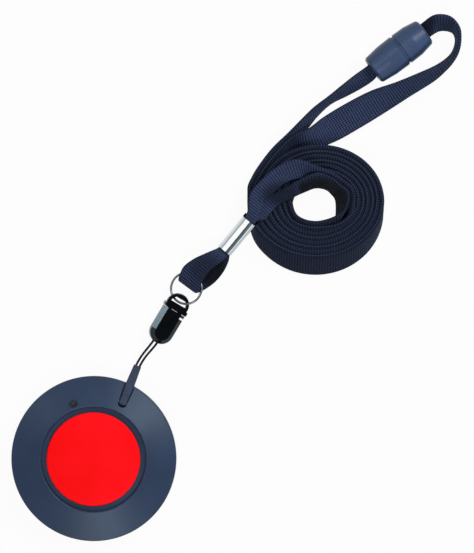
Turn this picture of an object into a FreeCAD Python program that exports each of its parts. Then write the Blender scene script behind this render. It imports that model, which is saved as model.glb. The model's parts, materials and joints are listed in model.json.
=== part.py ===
import FreeCAD, Part
import Sketcher
import math
import os
import re
from FreeCAD import Placement, Rotation, Vector

# Pendant transmitter: a round panic-button transmitter on a rolled neck lanyard.
# Millimetres, +Z out of the button's face. The origin is the middle of the rear shell's flat face,
# which lies on the table. The lanyard lies beside it on the same table.

# Driving dimensions, one row each: alias, size, meaning.
SIZES = [
    ("disc_radius", "29.0", "outer radius of the round housing"),
    ("rear_flat_radius", "24.6", "radius of the flat that rests on the table"),
    ("rear_edge_inset", "1.6", "inset of the lower corner of the housing's curved edge"),
    ("rear_edge_rise", "1.25", "height of that lower corner"),
    ("rear_side_inset", "0.3", "inset of the upper corner of the curved edge"),
    ("rear_side_rise", "2.8", "height of that upper corner"),
    ("rear_side_land", "0.6", "height of the rear shell's upright side"),
    ("rear_inner_bevel", "1.6", "bevel between the rear shell's floor and wall"),
    ("split_height", "4.6", "height of the joint between the shells"),
    ("rear_floor", "1.6", "thickness of the rear shell's floor"),
    ("rear_inner_radius", "25.5", "inner radius of the rear shell's wall"),
    ("rim_height", "7.6", "height of the housing's outer rim"),
    ("rim_land", "0.5", "width of the rounded land on the rim"),
    ("lip_height", "10.8", "height of the lip round the button's well"),
    ("lip_land", "0.6", "width of the lip's crest"),
    ("well_radius", "18.3", "inner radius of the button's well"),
    ("well_floor_height", "9.2", "height of the well's floor"),
    ("well_floor_wall", "1.2", "thickness of the well's floor"),
    ("well_floor_rest", "2.6", "how far the floor's flat underside goes on outside the well"),
    ("post_cover", "0.6", "distance of the front posts' tops from the well floor's level"),
    ("cover_wall", "2.0", "wall of the front shell under the cone"),
    ("tongue_wall", "0.6", "thickness of the locating tongue"),
    ("tongue_depth", "0.7", "depth of the locating tongue below the joint"),
    ("fit_gap", "0.1", "clearance between parts that locate each other"),
    ("edge_round", "0.45", "rounding of the housing's visible edges"),
    ("seal_groove_radius", "26.9", "middle radius of the sealing ring"),
    ("seal_groove_width", "0.9", "width of the sealing ring's groove"),
    ("seal_groove_depth", "0.7", "depth of the sealing ring's groove"),
    ("screw_circle", "22.0", "radius of the circle of housing screws"),
    ("screw_count", "3", "number of housing screws"),
    ("screw_first_angle", "30.0", "angle of the first housing screw"),
    ("screw_radius", "1.0", "thread radius of a housing screw"),
    ("screw_head_radius", "1.9", "head radius of a housing screw"),
    ("screw_head_height", "1.3", "head height of a housing screw"),
    ("screw_sunk", "0.2", "depth of a screw head below the rear face"),
    ("screw_length", "6.6", "length of a housing screw under its head"),
    ("post_radius", "2.7", "radius of the screw posts"),
    ("cell_radius", "10.0", "radius of the coin cell"),
    ("cell_thickness", "3.2", "thickness of the coin cell"),
    ("cell_bevel", "0.4", "bevel of the coin cell's edges"),
    ("cell_cap_rise", "0.5", "height of the coin cell's cap above its case"),
    ("cell_cap_inset", "0.8", "width of the step round the coin cell's cap"),
    ("contact_half_length", "6.0", "half length of the inner battery contact"),
    ("clip_sheet", "0.2", "sheet thickness of the battery clip"),
    ("clip_strip_width", "5.0", "width of the battery clip"),
    ("contact_thickness", "0.3", "thickness of the inner battery contact"),
    ("board_thickness", "1.0", "thickness of the circuit board"),
    ("board_radius", "24.2", "radius of the circuit board"),
    ("board_notch_gap", "0.7", "gap between the board's notch and the channel's walls"),
    ("chip_side", "5.0", "side of the radio chip"),
    ("chip_height", "0.9", "height of the radio chip"),
    ("chip_x", "-13.5", "x of the radio chip"),
    ("chip_y", "-9.0", "y of the radio chip"),
    ("crystal_long", "3.2", "length of the crystal's can"),
    ("crystal_wide", "2.5", "width of the crystal's can"),
    ("crystal_height", "0.8", "height of the crystal's can"),
    ("crystal_x", "-15.5", "x of the crystal's can"),
    ("crystal_y", "-1.0", "y of the crystal's can"),
    ("chip_round", "0.15", "rounding of the chips' upper edges"),
    ("button_radius", "16.4", "radius of the call button"),
    ("button_edge_height", "11.3", "height of the button's shoulder"),
    ("button_dome", "0.5", "rise of the button's face at its middle"),
    ("button_wall", "1.4", "wall of the button's cap"),
    ("button_skirt_gap", "0.65", "gap under the button's skirt at rest"),
    ("button_travel", "0.4", "stroke of the call button"),
    ("hub_bore_radius", "5.9", "bore of the well's floor for the button's hub"),
    ("hub_gap", "0.2", "clearance round the button's hub"),
    ("hub_wall", "0.8", "wall of the button's hub"),
    ("hook_reach", "0.5", "overhang of the hub's snap hooks"),
    ("hook_height", "0.5", "height of the hub's snap hooks"),
    ("hook_gap", "0.15", "gap between the hooks and the floor above them"),
    ("hub_slot_width", "1.6", "width of the slots between the snap hooks"),
    ("presser_radius", "1.4", "radius of the button's presser"),
    ("presser_gap", "0.25", "gap between the presser and the switch plunger"),
    ("switch_side", "6.0", "side of the push switch"),
    ("switch_height", "1.8", "height of the push switch's case"),
    ("switch_round", "0.5", "rounding of the push switch's corners"),
    ("plunger_radius", "1.6", "radius of the switch plunger"),
    ("plunger_rise", "0.5", "height of the plunger above the case"),
    ("plunger_depth", "0.7", "length of the plunger inside the case"),
    ("seal_foot_radius", "13.6", "outer radius of the button seal's foot"),
    ("seal_foot_width", "2.6", "width of the button seal's foot"),
    ("seal_foot_height", "0.3", "height of the button seal's foot"),
    ("seal_sheet", "0.35", "thickness of the button seal's membrane"),
    ("seal_crown_width", "1.6", "width of the ring that bears on the button"),
    ("seal_crown_gap", "1.2", "distance of that ring from the hub's bore"),
    ("led_circle", "20.8", "distance of the indicator from the middle"),
    ("led_angle", "110.0", "angle of the indicator"),
    ("led_recess_radius", "1.65", "radius of the recess round the indicator"),
    ("led_recess_depth", "0.6", "depth of the recess round the indicator"),
    ("light_pipe_radius", "1.1", "radius of the light pipe"),
    ("light_pipe_flange", "0.6", "overhang of the light pipe's flange"),
    ("led_side", "1.6", "side of the light-emitting chip"),
    ("led_height", "0.7", "height of the light-emitting chip"),
    ("channel_x", "9.6", "x of the strap channel's inner end"),
    ("channel_y", "18.1", "y of the strap channel's inner end"),
    ("channel_angle", "68.5", "direction of the strap channel"),
    ("channel_depth", "1.9", "depth of the strap channel"),
    ("channel_inner_half", "1.6", "half width of the channel's inner end"),
    ("channel_outer_half", "2.2", "half width of the channel at the rim"),
    ("channel_run", "11.0", "length of the channel cut, past the rim"),
    ("channel_wall", "1.4", "wall round the channel inside the housing"),
    ("channel_cut_rise", "4.0", "height of the channel's cutters above the cone"),
    ("block_back", "1.2", "start of the anchor block before the channel's inner end"),
    ("block_front", "4.8", "end of the anchor block along the channel"),
    ("block_under", "2.1", "thickness of the anchor block under the channel"),
    ("block_cover", "0.9", "depth of the anchor block's top below the cone"),
    ("strap_pin_radius", "0.5", "radius of the strap's anchor pin"),
    ("strap_pin_place", "2.0", "distance of the anchor pin from the channel's end"),
    ("strap_pin_half", "3.1", "half length of the anchor pin"),
    ("tab_waist_half", "1.3", "half width of the tab at its eye"),
    ("tab_rim_half", "1.6", "half width of the tab at the housing's rim"),
    ("tab_end_half", "1.35", "half width of the tab's outer end"),
    ("tab_rim_place", "9.0", "place along the tab of its widest point"),
    ("tab_length", "16.4", "place of the tab's outer end"),
    ("tab_half_thickness", "0.95", "half thickness of the tab"),
    ("tab_round", "0.4", "rounding of the tab's long edges"),
    ("tab_bore_depth", "2.2", "depth of the two string bores in the tab"),
    ("string_radius", "0.4", "radius of the loop of string"),
    ("string_gap", "0.05", "clearance round the string"),
    ("string_half_spacing", "0.65", "half the distance between the two strings in the tab"),
    ("string_bend_place", "2.4", "distance from the tab's end to the string's bend"),
    ("string_mouth_place", "0.6", "distance of the string's next bend outside the clip"),
    ("clip_x", "21.45", "x of the clip's lower end"),
    ("clip_y", "40.9", "y of the clip's lower end"),
    ("clip_angle", "59.1", "direction of the clip's axis"),
    ("clip_roll", "14.0", "roll of the clip about its axis"),
    ("clip_axis_height", "3.1", "height of the clip's axis above the table"),
    ("socket_half_width", "4.2", "half width of the clip's socket half"),
    ("socket_half_thickness", "2.3", "half thickness of the clip's socket half"),
    ("socket_length", "12.9", "length of the clip's socket half"),
    ("socket_bevel", "1.1", "bevel round the faces of the socket half, on one side"),
    ("socket_bevel_width", "1.43", "that bevel on the other side"),
    ("socket_cavity_half", "2.9", "half width of the cavity for the prongs"),
    ("socket_cavity_high", "1.3", "half height of the cavity for the prongs"),
    ("socket_cavity_floor", "4.7", "place of the cavity's inner end"),
    ("notch_place", "1.0", "distance of the release notch from the socket half's end"),
    ("notch_width", "0.7", "width of the release notch"),
    ("notch_depth", "1.6", "depth of the release notch"),
    ("string_bar_radius", "0.35", "radius of the bar that the string goes round"),
    ("string_bar_place", "2.0", "place of the bar along the clip"),
    ("clip_gap", "0.15", "clearance between the clip's halves"),
    ("collar_half_width", "4.5", "half width of the plug half's shoulders"),
    ("collar_length", "1.5", "length of the plug half's shoulders"),
    ("collar_half_thickness", "1.9", "half thickness of the shoulders"),
    ("collar_round", "0.5", "rounding of the shoulders' ends"),
    ("prong_width", "1.5", "width of a prong"),
    ("prong_half_thickness", "1.1", "half thickness of a prong"),
    ("prong_length", "7.4", "length of a prong below the shoulders"),
    ("eye_radius", "4.15", "outer radius of the clip's eye"),
    ("eye_wall", "1.15", "width of the eye's sides"),
    ("eye_arch", "1.8", "width of the eye's bar at its top"),
    ("eye_sill", "1.1", "distance of the eye's opening from the shoulders"),
    ("eye_half_thickness", "0.8", "half thickness of the eye"),
    ("eye_round", "0.35", "rounding of the eye's outer edges"),
    ("eye_centre_place", "15.25", "place of the eye's centre along the clip"),
    ("ring_radius", "5.55", "mean radius of the steel ring"),
    ("ring_wire", "0.4", "radius of the ring's wire"),
    ("ring_across", "-0.3", "offset of the ring's centre across the clip"),
    ("ring_along", "21.9", "place of the ring's centre along the clip"),
    ("ring_height", "3.05", "height of the ring's centre"),
    ("ring_tilt", "14.0", "tilt of the ring the other way from the clip's roll"),
    ("crimp_x", "46.4", "x of the crimp's lower end"),
    ("crimp_y", "73.7", "y of the crimp's lower end"),
    ("crimp_low", "3.8", "height of the crimp's lower end"),
    ("crimp_high", "10.2", "height of the crimp's upper end"),
    ("crimp_angle", "50.3", "direction of the crimp"),
    ("crimp_plan_length", "13.4", "length of the crimp seen from above"),
    ("crimp_half_width", "2.8", "half width of the crimp"),
    ("crimp_half_thickness", "2.1", "half thickness of the crimp"),
    ("crimp_sheet", "0.45", "sheet thickness of the crimp"),
    ("crimp_seam", "0.4", "gap of the crimp's folded seam"),
    ("crimp_round", "0.9", "outer rounding of the crimp's folds"),
    ("crimp_overhang", "0.8", "distance outside the crimp where the strands spread"),
    ("crimp_foot_overhang", "0.3", "the same at the crimp's lower end"),
    ("strand_gap", "0.12", "gap between the two strands in the crimp"),
    ("strand_side_gap", "0.15", "gap between the strands' edges and the crimp"),
    ("strap_thickness", "1.3", "thickness of the webbing"),
    ("roll_x", "78.7", "x of the roll's middle"),
    ("roll_y", "91.5", "y of the middle of the roll's upper rim"),
    ("roll_half_long", "24.9", "half width of the roll along x at its first turn"),
    ("roll_half_short", "21.45", "half width of the roll along y at its first turn"),
    ("roll_pitch_long", "1.65", "distance from layer to layer along x"),
    ("roll_pitch_short", "1.6", "distance from layer to layer along y"),
    ("roll_band", "1.35", "thickness of a layer seen from above"),
    ("roll_turns", "3.0", "turns that the pair of strands makes"),
    ("roll_steps", "16", "points of a strand's line per turn"),
    ("roll_lean", "6.7", "how far the roll's upper rim leans along y on the near side"),
    ("roll_lean_fall", "0.08", "loss of that lean per millimetre towards the far side"),
    ("roll_height", "7.55", "height of the leaning roll"),
    ("barrel_x", "107.9", "x of the groove between the breakaway halves"),
    ("barrel_y", "143.7", "y of the groove between the breakaway halves"),
    ("barrel_angle", "37.3", "direction of the breakaway connector"),
    ("barrel_radius", "5.95", "radius of the breakaway connector at its groove"),
    ("barrel_rest_gap", "0.05", "height of the connector above the table"),
    ("barrel_waist_radius", "5.85", "radius of the connector halfway along each half"),
    ("groove_half", "0.4", "half width of the groove between the halves"),
    ("groove_depth", "0.4", "depth of the groove between the halves"),
    ("groove_bevel", "0.15", "bevel of the groove's edges"),
    ("socket_half_end", "12.2", "distance from the groove to the socket half's end"),
    ("socket_end_radius", "5.2", "radius of the socket half's end"),
    ("plug_half_end", "10.6", "distance from the groove to the plug half's end"),
    ("plug_end_radius", "5.0", "radius of the plug half's end"),
    ("barrel_round", "0.6", "bevel of the connector's ends"),
    ("stud_radius", "2.4", "radius of the plug half's stud"),
    ("stud_bevel", "0.4", "bevel of the stud's end"),
    ("stud_gap", "0.08", "running clearance round the stud"),
    ("stud_length", "6.0", "length of the stud past the groove"),
    ("mouth_half_width", "3.3", "half width of the strap mouths"),
    ("mouth_half_height", "2.0", "half height of the strap mouths"),
    ("mouth_depth", "4.2", "depth of the strap mouths"),
    ("mouth_round", "0.8", "rounding of the strap mouths' corners"),
    ("antenna_circle", "22.6", "radius of the antenna's arc"),
    ("antenna_wire", "0.35", "radius of the antenna's wire"),
    ("antenna_sweep", "92.0", "angle that the antenna's arc covers"),
    ("antenna_start", "163.0", "angle at which the antenna's arc begins"),
]

doc = FreeCAD.newDocument("PendantTransmitter")
sheet = doc.addObject("Spreadsheet::Sheet", "Sizes")
for row, (alias, size, meaning) in enumerate(SIZES, start=1):
    sheet.set("A%d" % row, meaning)
    sheet.set("B%d" % row, size)
    sheet.setAlias("B%d" % row, alias)
doc.recompute()

ALIASES = {alias for alias, size, meaning in SIZES}
finished = []


def read(alias):
    return float(sheet.get(alias))


def bound(text):
    # Names of sizes in an expression become references to the sheet.
    return re.sub(r"[a-z_]+", lambda m: "Sizes." + m[0] if m[0] in ALIASES else m[0], text)


def body_named(label):
    body = doc.addObject("PartDesign::Body", label)
    body.Label = label
    return body


def plane_of(body, role):
    for feature in body.Origin.OriginFeatures:
        if feature.Role == role:
            return feature


def sketch_on(body, role, name, lift=None):
    sketch = body.newObject("Sketcher::SketchObject", name)
    sketch.AttachmentSupport = [(plane_of(body, role), "")]
    sketch.MapMode = "FlatFace"
    if lift is not None:
        sketch.setExpression("AttachmentOffset.Base.z", bound(lift))
    return sketch


def polygon(sketch, corners):
    # A closed outline whose corners are held by expressions of the sheet's sizes.
    count = len(corners)
    for index in range(count):
        nudge = 0.01 * index
        start = Vector(index + nudge, (index * index) % 7 + nudge, 0)
        end = Vector(index + 1 + nudge, ((index + 1) * (index + 1)) % 7 + nudge, 0)
        sketch.addGeometry(Part.LineSegment(start, end), False)
    for index in range(count):
        following = (index + 1) % count
        sketch.addConstraint(Sketcher.Constraint("Coincident", index, 2, following, 1))
    for index, (across, up) in enumerate(corners):
        for kind, text in (("DistanceX", across), ("DistanceY", up)):
            number = sketch.addConstraint(Sketcher.Constraint(kind, -1, 1, index, 1, 1.0))
            sketch.setExpression("Constraints[%d]" % number, bound(text))


def circle(sketch, across, up, radius):
    index = sketch.addGeometry(Part.Circle(Vector(3, 4, 0), Vector(0, 0, 1), 1.0), False)
    rows = (("DistanceX", across), ("DistanceY", up))
    for kind, text in rows:
        number = sketch.addConstraint(Sketcher.Constraint(kind, -1, 1, index, 3, 1.0))
        sketch.setExpression("Constraints[%d]" % number, bound(text))
    number = sketch.addConstraint(Sketcher.Constraint("Radius", index, 1.0))
    sketch.setExpression("Constraints[%d]" % number, bound(radius))


def revolved(body, corners, role="XZ_Plane", axis="V_Axis", name="Turning"):
    sketch = sketch_on(body, role, name + "Profile")
    polygon(sketch, corners)
    turning = body.newObject("PartDesign::Revolution", name)
    turning.Profile = sketch
    turning.ReferenceAxis = (sketch, [axis])
    turning.Angle = 360
    return turning


def padded(body, sketch, length, name):
    pad = body.newObject("PartDesign::Pad", name)
    pad.Profile = sketch
    pad.setExpression("Length", bound(length))
    return pad


def pocketed(body, sketch, length, name, upwards):
    pocket = body.newObject("PartDesign::Pocket", name)
    pocket.Profile = sketch
    pocket.setExpression("Length", bound(length))
    pocket.Reversed = upwards
    return pocket


def patterned(body, features, count, name):
    pattern = body.newObject("PartDesign::PolarPattern", name)
    pattern.Originals = features
    pattern.Axis = (features[0].Profile[0], ["N_Axis"])
    pattern.Angle = 360
    pattern.setExpression("Occurrences", bound(count))
    body.Tip = pattern
    return pattern


def rounded(body, base, radius, name, wanted):
    # Rounds the edges of the base feature that the test accepts.
    doc.recompute()
    chosen = [
        "Edge%d" % number
        for number, edge in enumerate(base.Shape.Edges, start=1)
        if wanted(edge)
    ]
    fillet = body.newObject("PartDesign::Fillet", name)
    fillet.Base = (base, chosen)
    fillet.setExpression("Radius", bound(radius))
    return fillet


def ring_edge(radius, height):
    # Accepts the round edge of this radius at this height about the vertical axis.
    def test(edge):
        curve = edge.Curve
        if not isinstance(curve, Part.Circle):
            return False
        level = abs(edge.BoundBox.ZMax - height) < 1e-4 and edge.BoundBox.ZLength < 1e-4
        return level and abs(curve.Radius - radius) < 1e-4
    return test


def primitive(kind, name, sizes, base=(), turn=None):
    # With no base it stays free for a placement given later.
    solid = doc.addObject("Part::" + kind, name)
    for attribute, text in sizes.items():
        solid.setExpression(attribute, bound(text))
    if turn is not None:
        solid.Placement = Placement(Vector(0, 0, 0), turn)
    for letter, text in zip("xyz", base):
        solid.setExpression("Placement.Base." + letter, bound(text))
    return solid


def block(name, low, high):
    # A box between two corners given as expressions.
    sizes = {
        side: "(%s) - (%s)" % (top, bottom)
        for side, bottom, top in zip(("Length", "Width", "Height"), low, high)
    }
    return primitive("Box", name, sizes, low)


def wedge(name, near, far, near_half, far_half, low, high):
    # A block along y that widens from one half width to another.
    sizes = {
        "Xmin": "-(%s)" % near_half,
        "Xmax": near_half,
        "X2min": "-(%s)" % far_half,
        "X2max": far_half,
        "Ymin": near,
        "Ymax": far,
        "Zmin": low,
        "Zmax": high,
        "Z2min": low,
        "Z2max": high,
    }
    return primitive("Wedge", name, sizes)


def fused(name, pieces):
    fusion = doc.addObject("Part::MultiFuse", name)
    fusion.Shapes = pieces
    fusion.Refine = True
    return fusion


def cut(name, base, tools):
    result = doc.addObject("Part::Cut", name)
    result.Base = base
    result.Tool = tools[0] if len(tools) == 1 else fused(name + "Tools", tools)
    return result


def softened(name, base, radius, wanted):
    # Rounds the edges of a boolean's result that the test accepts.
    doc.recompute()
    fillet = doc.addObject("Part::Fillet", name)
    fillet.Base = base
    fillet.Edges = [
        (number, radius, radius)
        for number, edge in enumerate(base.Shape.Edges, start=1)
        if wanted(edge)
    ]
    return fillet


def finish(node, result, placement=None):
    # Gives the finished piece its node name, and its place where it isn't built in place.
    result.Label = node
    if placement is not None:
        result.Placement = placement
    finished.append((node, result))


def shaped(node, shape):
    # A piece whose form no sketch or primitive gives.
    feature = doc.addObject("Part::Feature", node)
    feature.Shape = shape
    finish(node, feature)
    return feature


# Heights of the stack inside the housing, from the rear floor up.
cell_base = "(rear_floor + fit_gap + clip_sheet)"
board_base = "(%s + cell_thickness + contact_thickness)" % cell_base
board_top = "(%s + board_thickness)" % board_base
cone_slope = "((lip_height - rim_height) / (disc_radius - rim_land - well_radius - lip_land))"
floor_under = "(well_floor_height - well_floor_wall)"
tongue_outer = "(rear_inner_radius - fit_gap)"
tongue_inner = "(%s - tongue_wall)" % tongue_outer


def cone_height(radius_text):
    # Height of the conical face at a distance from the middle.
    return "(rim_height + (disc_radius - rim_land - (%s)) * %s)" % (radius_text, cone_slope)


def value(text):
    # The number that an expression of sizes gives.
    return float(sheet.evalExpression(bound(text)))


def polar(distance, angle):
    return "%s * cos(%s)" % (distance, angle), "%s * sin(%s)" % (distance, angle)


screw_at = polar("screw_circle", "screw_first_angle")
led_at = polar("led_circle", "led_angle")


def frame_at(x, y, z, heading, pitch=0.0, roll=0.0):
    # A frame whose y axis runs along the heading in degrees, dips by the pitch and rolls about itself.
    turn = Rotation(Vector(0, 0, 1), heading - 90.0)
    turn = turn.multiply(Rotation(Vector(1, 0, 0), -pitch))
    turn = turn.multiply(Rotation(Vector(0, 1, 0), roll))
    return Placement(Vector(x, y, z), turn)


# Frame of the strap channel: y runs down the cone from the channel's inner end, z stands off the cone.
channel_radius = math.hypot(read("channel_x"), read("channel_y"))
channel_frame = frame_at(
    read("channel_x"),
    read("channel_y"),
    value(cone_height(str(channel_radius))),
    read("channel_angle"),
    pitch=math.degrees(math.atan(value(cone_slope))),
)
clip_frame = frame_at(
    read("clip_x"), read("clip_y"), read("clip_axis_height"), read("clip_angle"), roll=read("clip_roll")
)
crimp_rise = read("crimp_high") - read("crimp_low")
crimp_frame = frame_at(
    read("crimp_x"),
    read("crimp_y"),
    read("crimp_low"),
    read("crimp_angle"),
    pitch=-math.degrees(math.atan2(crimp_rise, read("crimp_plan_length"))),
)
crimp_length = math.hypot(crimp_rise, read("crimp_plan_length"))
barrel_frame = frame_at(
    read("barrel_x"),
    read("barrel_y"),
    read("barrel_radius") + read("barrel_rest_gap"),
    read("barrel_angle"),
)


def rear_shell():
    body = body_named("rear_shell_body")
    revolved(body, [
        ("0", "0"),
        ("rear_flat_radius", "0"),
        ("disc_radius - rear_edge_inset", "rear_edge_rise"),
        ("disc_radius - rear_side_inset", "rear_side_rise"),
        ("disc_radius", "split_height - rear_side_land"),
        ("disc_radius", "split_height"),
        ("seal_groove_radius + seal_groove_width / 2", "split_height"),
        ("seal_groove_radius + seal_groove_width / 2", "split_height - seal_groove_depth"),
        ("seal_groove_radius - seal_groove_width / 2", "split_height - seal_groove_depth"),
        ("seal_groove_radius - seal_groove_width / 2", "split_height"),
        ("rear_inner_radius", "split_height"),
        ("rear_inner_radius", "rear_floor + rear_inner_bevel"),
        ("rear_inner_radius - rear_inner_bevel", "rear_floor"),
        ("0", "rear_floor"),
    ])
    post_sketch = sketch_on(body, "XY_Plane", "PostOutline", "rear_floor - fit_gap")
    circle(post_sketch, screw_at[0], screw_at[1], "post_radius")
    post = padded(body, post_sketch, board_base + " - rear_floor + fit_gap", "Post")
    doc.recompute()
    patterned(body, [post], "screw_count", "Posts")
    head_sketch = sketch_on(body, "XY_Plane", "HeadOutline")
    circle(head_sketch, screw_at[0], screw_at[1], "screw_head_radius + fit_gap")
    head = pocketed(body, head_sketch, "screw_sunk + screw_head_height", "HeadRecess", True)
    doc.recompute()
    patterned(body, [head], "screw_count", "HeadRecesses")
    hole_sketch = sketch_on(body, "XY_Plane", "HoleOutline")
    circle(hole_sketch, screw_at[0], screw_at[1], "screw_radius + 2 * fit_gap")
    hole = pocketed(body, hole_sketch, board_base + " + fit_gap", "ScrewHole", True)
    doc.recompute()
    patterned(body, [hole], "screw_count", "ScrewHoles")
    finish("rear_shell", body)


def front_shell():
    body = body_named("front_shell_body")
    shell = revolved(body, [
        ("disc_radius", "split_height"),
        ("disc_radius", "rim_height"),
        ("disc_radius - rim_land", "rim_height"),
        ("well_radius + lip_land", "lip_height"),
        ("well_radius", "lip_height"),
        ("well_radius", "well_floor_height"),
        ("hub_bore_radius", "well_floor_height"),
        ("hub_bore_radius", floor_under),
        ("well_radius + well_floor_rest", floor_under),
        (tongue_inner, cone_height(tongue_inner) + " - cover_wall"),
        (tongue_inner, "split_height - tongue_depth"),
        (tongue_outer, "split_height - tongue_depth"),
        (tongue_outer, "split_height"),
    ])
    rim = rounded(body, shell, "edge_round", "RimRound",
                  ring_edge(read("disc_radius"), read("rim_height")))
    lip = rounded(body, rim, "edge_round", "LipRound",
                  ring_edge(read("well_radius"), read("lip_height")))
    doc.recompute()
    body.Tip = lip
    posts, pilots = [], []
    step = 360.0 / read("screw_count")
    for number in range(int(read("screw_count"))):
        angle = "(screw_first_angle + %s)" % (number * step)
        place = polar("screw_circle", angle)
        posts.append(primitive("Cylinder", "FrontPost%d" % number, {
            "Radius": "post_radius",
            "Height": "well_floor_height - post_cover - " + board_top,
        }, (place[0], place[1], board_top)))
        pilots.append(primitive("Cylinder", "Pilot%d" % number, {
            "Radius": "screw_radius + fit_gap / 2",
            "Height": "screw_sunk + screw_head_height + screw_length + 2 * fit_gap - " + board_top,
        }, (place[0], place[1], board_top)))
    housing = wedge("ChannelHousing", "-block_back", "block_front", "channel_inner_half + channel_wall",
                    "channel_outer_half + channel_wall", "-channel_depth - block_under", "-block_cover")
    housing.Placement = channel_frame
    blank = fused("FrontBlank", [body, housing] + posts)
    pin_bore = primitive("Cylinder", "PinBore", {
        "Radius": "strap_pin_radius + fit_gap / 5",
        "Height": "2 * strap_pin_half + fit_gap",
    })
    pin_bore.Placement = pin_placement(read("strap_pin_half") + read("fit_gap") / 2)
    pipe_bore = primitive("Cylinder", "PipeBore", {
        "Radius": "light_pipe_radius + fit_gap / 2",
        "Height": "lip_height",
    }, (led_at[0], led_at[1], floor_under + " - 1"))
    recess = primitive("Cylinder", "LedRecess", {
        "Radius": "led_recess_radius",
        "Height": "lip_height",
    }, (led_at[0], led_at[1], cone_height("led_circle") + " - led_recess_depth"))
    pipe_seat = primitive("Cylinder", "PipeSeat", {
        "Radius": "light_pipe_radius + light_pipe_flange + fit_gap / 2",
        "Height": "well_floor_wall",
    }, (led_at[0], led_at[1], floor_under + " - well_floor_wall"))
    holes = pilots + [channel_cutter(), pin_bore, pipe_bore, pipe_seat, recess]
    finish("front_shell", cut("FrontShell", blank, holes))


def channel_cutter():
    # A tapered slot with a round inner end, open at the rim.
    inner = primitive("Cylinder", "ChannelEnd", {
        "Radius": "channel_inner_half",
        "Height": "channel_depth + channel_cut_rise",
    }, ("0", "channel_inner_half", "-channel_depth"))
    outer = wedge("ChannelRun", "channel_inner_half", "channel_run", "channel_inner_half",
                  "channel_outer_half", "-channel_depth", "channel_cut_rise")
    slot = fused("StrapChannel", [inner, outer])
    slot.Placement = channel_frame
    return slot


def pin_placement(half_length):
    # Lays a cylinder across the channel, through the tab's eye.
    height = -read("channel_depth") + read("fit_gap") + read("tab_half_thickness")
    across = Placement(
        Vector(-half_length, read("strap_pin_place"), height), Rotation(Vector(0, 1, 0), 90)
    )
    return channel_frame.multiply(across)


def strap_pin():
    pin = primitive("Cylinder", "StrapPin", {
        "Radius": "strap_pin_radius",
        "Height": "2 * strap_pin_half",
    })
    finish("strap_pin", pin, pin_placement(read("strap_pin_half")))


def strap_tab():
    low = "-channel_depth + fit_gap"
    middle = low + " + tab_half_thickness"
    high = low + " + 2 * tab_half_thickness"
    inner = wedge("TabInner", "strap_pin_place", "tab_rim_place", "tab_waist_half",
                  "tab_rim_half", low, high)
    outer = wedge("TabOuter", "tab_rim_place", "tab_length", "tab_rim_half",
                  "tab_end_half", low, high)
    nose = primitive("Cylinder", "TabNose", {
        "Radius": "tab_half_thickness",
        "Height": "2 * tab_waist_half",
    }, ("-tab_waist_half", "strap_pin_place", middle), Rotation(Vector(0, 1, 0), 90))
    blank = fused("TabBlank", [inner, outer, nose])
    soft = softened("TabSoft", blank, read("tab_round"), lambda edge: edge.Length > 5.0)
    eye = primitive("Cylinder", "TabEye", {
        "Radius": "strap_pin_radius + fit_gap / 2",
        "Height": "4 * tab_rim_half",
    }, ("-2 * tab_rim_half", "strap_pin_place", middle), Rotation(Vector(0, 1, 0), 90))
    bores = [
        primitive("Cylinder", "TabBore", {
            "Radius": "string_radius + string_gap",
            "Height": "tab_bore_depth + 1",
        }, (side + "string_half_spacing", "tab_length + 1", middle), Rotation(Vector(1, 0, 0), 90))
        for side in ("-", "")
    ]
    tab = cut("StrapTab", soft, [eye] + bores)
    finish("strap_tab", tab, channel_frame)


def call_button():
    body = body_named("call_button_body")
    inner_top = "(button_edge_height - button_wall)"
    hub_outer = "(hub_bore_radius - hub_gap)"
    hook_top = "(%s - hook_gap)" % floor_under
    hub_foot = "(%s - hook_height)" % hook_top
    cap = revolved(body, [
        ("0", "button_edge_height + button_dome"),
        ("button_radius * 0.5", "button_edge_height + button_dome * 0.8"),
        ("button_radius * 0.85", "button_edge_height + button_dome * 0.35"),
        ("button_radius", "button_edge_height"),
        ("button_radius", "well_floor_height + button_skirt_gap"),
        ("button_radius - button_wall", "well_floor_height + button_skirt_gap"),
        ("button_radius - button_wall", inner_top),
        (hub_outer, inner_top),
        (hub_outer, hook_top),
        (hub_outer + " + hook_reach", hook_top),
        (hub_outer, hub_foot),
        (hub_outer + " - hub_wall", hub_foot),
        (hub_outer + " - hub_wall", inner_top),
        ("presser_radius", inner_top),
        ("presser_radius", "%s + switch_height + plunger_rise + presser_gap" % board_top),
        ("0", "%s + switch_height + plunger_rise + presser_gap" % board_top),
    ])
    edge = rounded(body, cap, "edge_round", "ButtonRound",
                   ring_edge(read("button_radius"), read("button_edge_height")))
    doc.recompute()
    body.Tip = edge
    reach = hub_outer + " + hook_reach + 1"
    half = "hub_slot_width / 2"
    across = block("SlotAcross", ("-(%s)" % reach, "-" + half, hub_foot + " - 1"),
                   (reach, half, "well_floor_height"))
    along = block("SlotAlong", ("-" + half, "-(%s)" % reach, hub_foot + " - 1"),
                  (half, reach, "well_floor_height"))
    presser_guard = primitive("Cylinder", "PresserGuard", {
        "Radius": "presser_radius + hub_gap",
        "Height": "lip_height",
    })
    slots = cut("HubSlots", fused("HubCross", [across, along]), [presser_guard])
    finish("call_button", cut("CallButton", body, [slots]))


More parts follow.
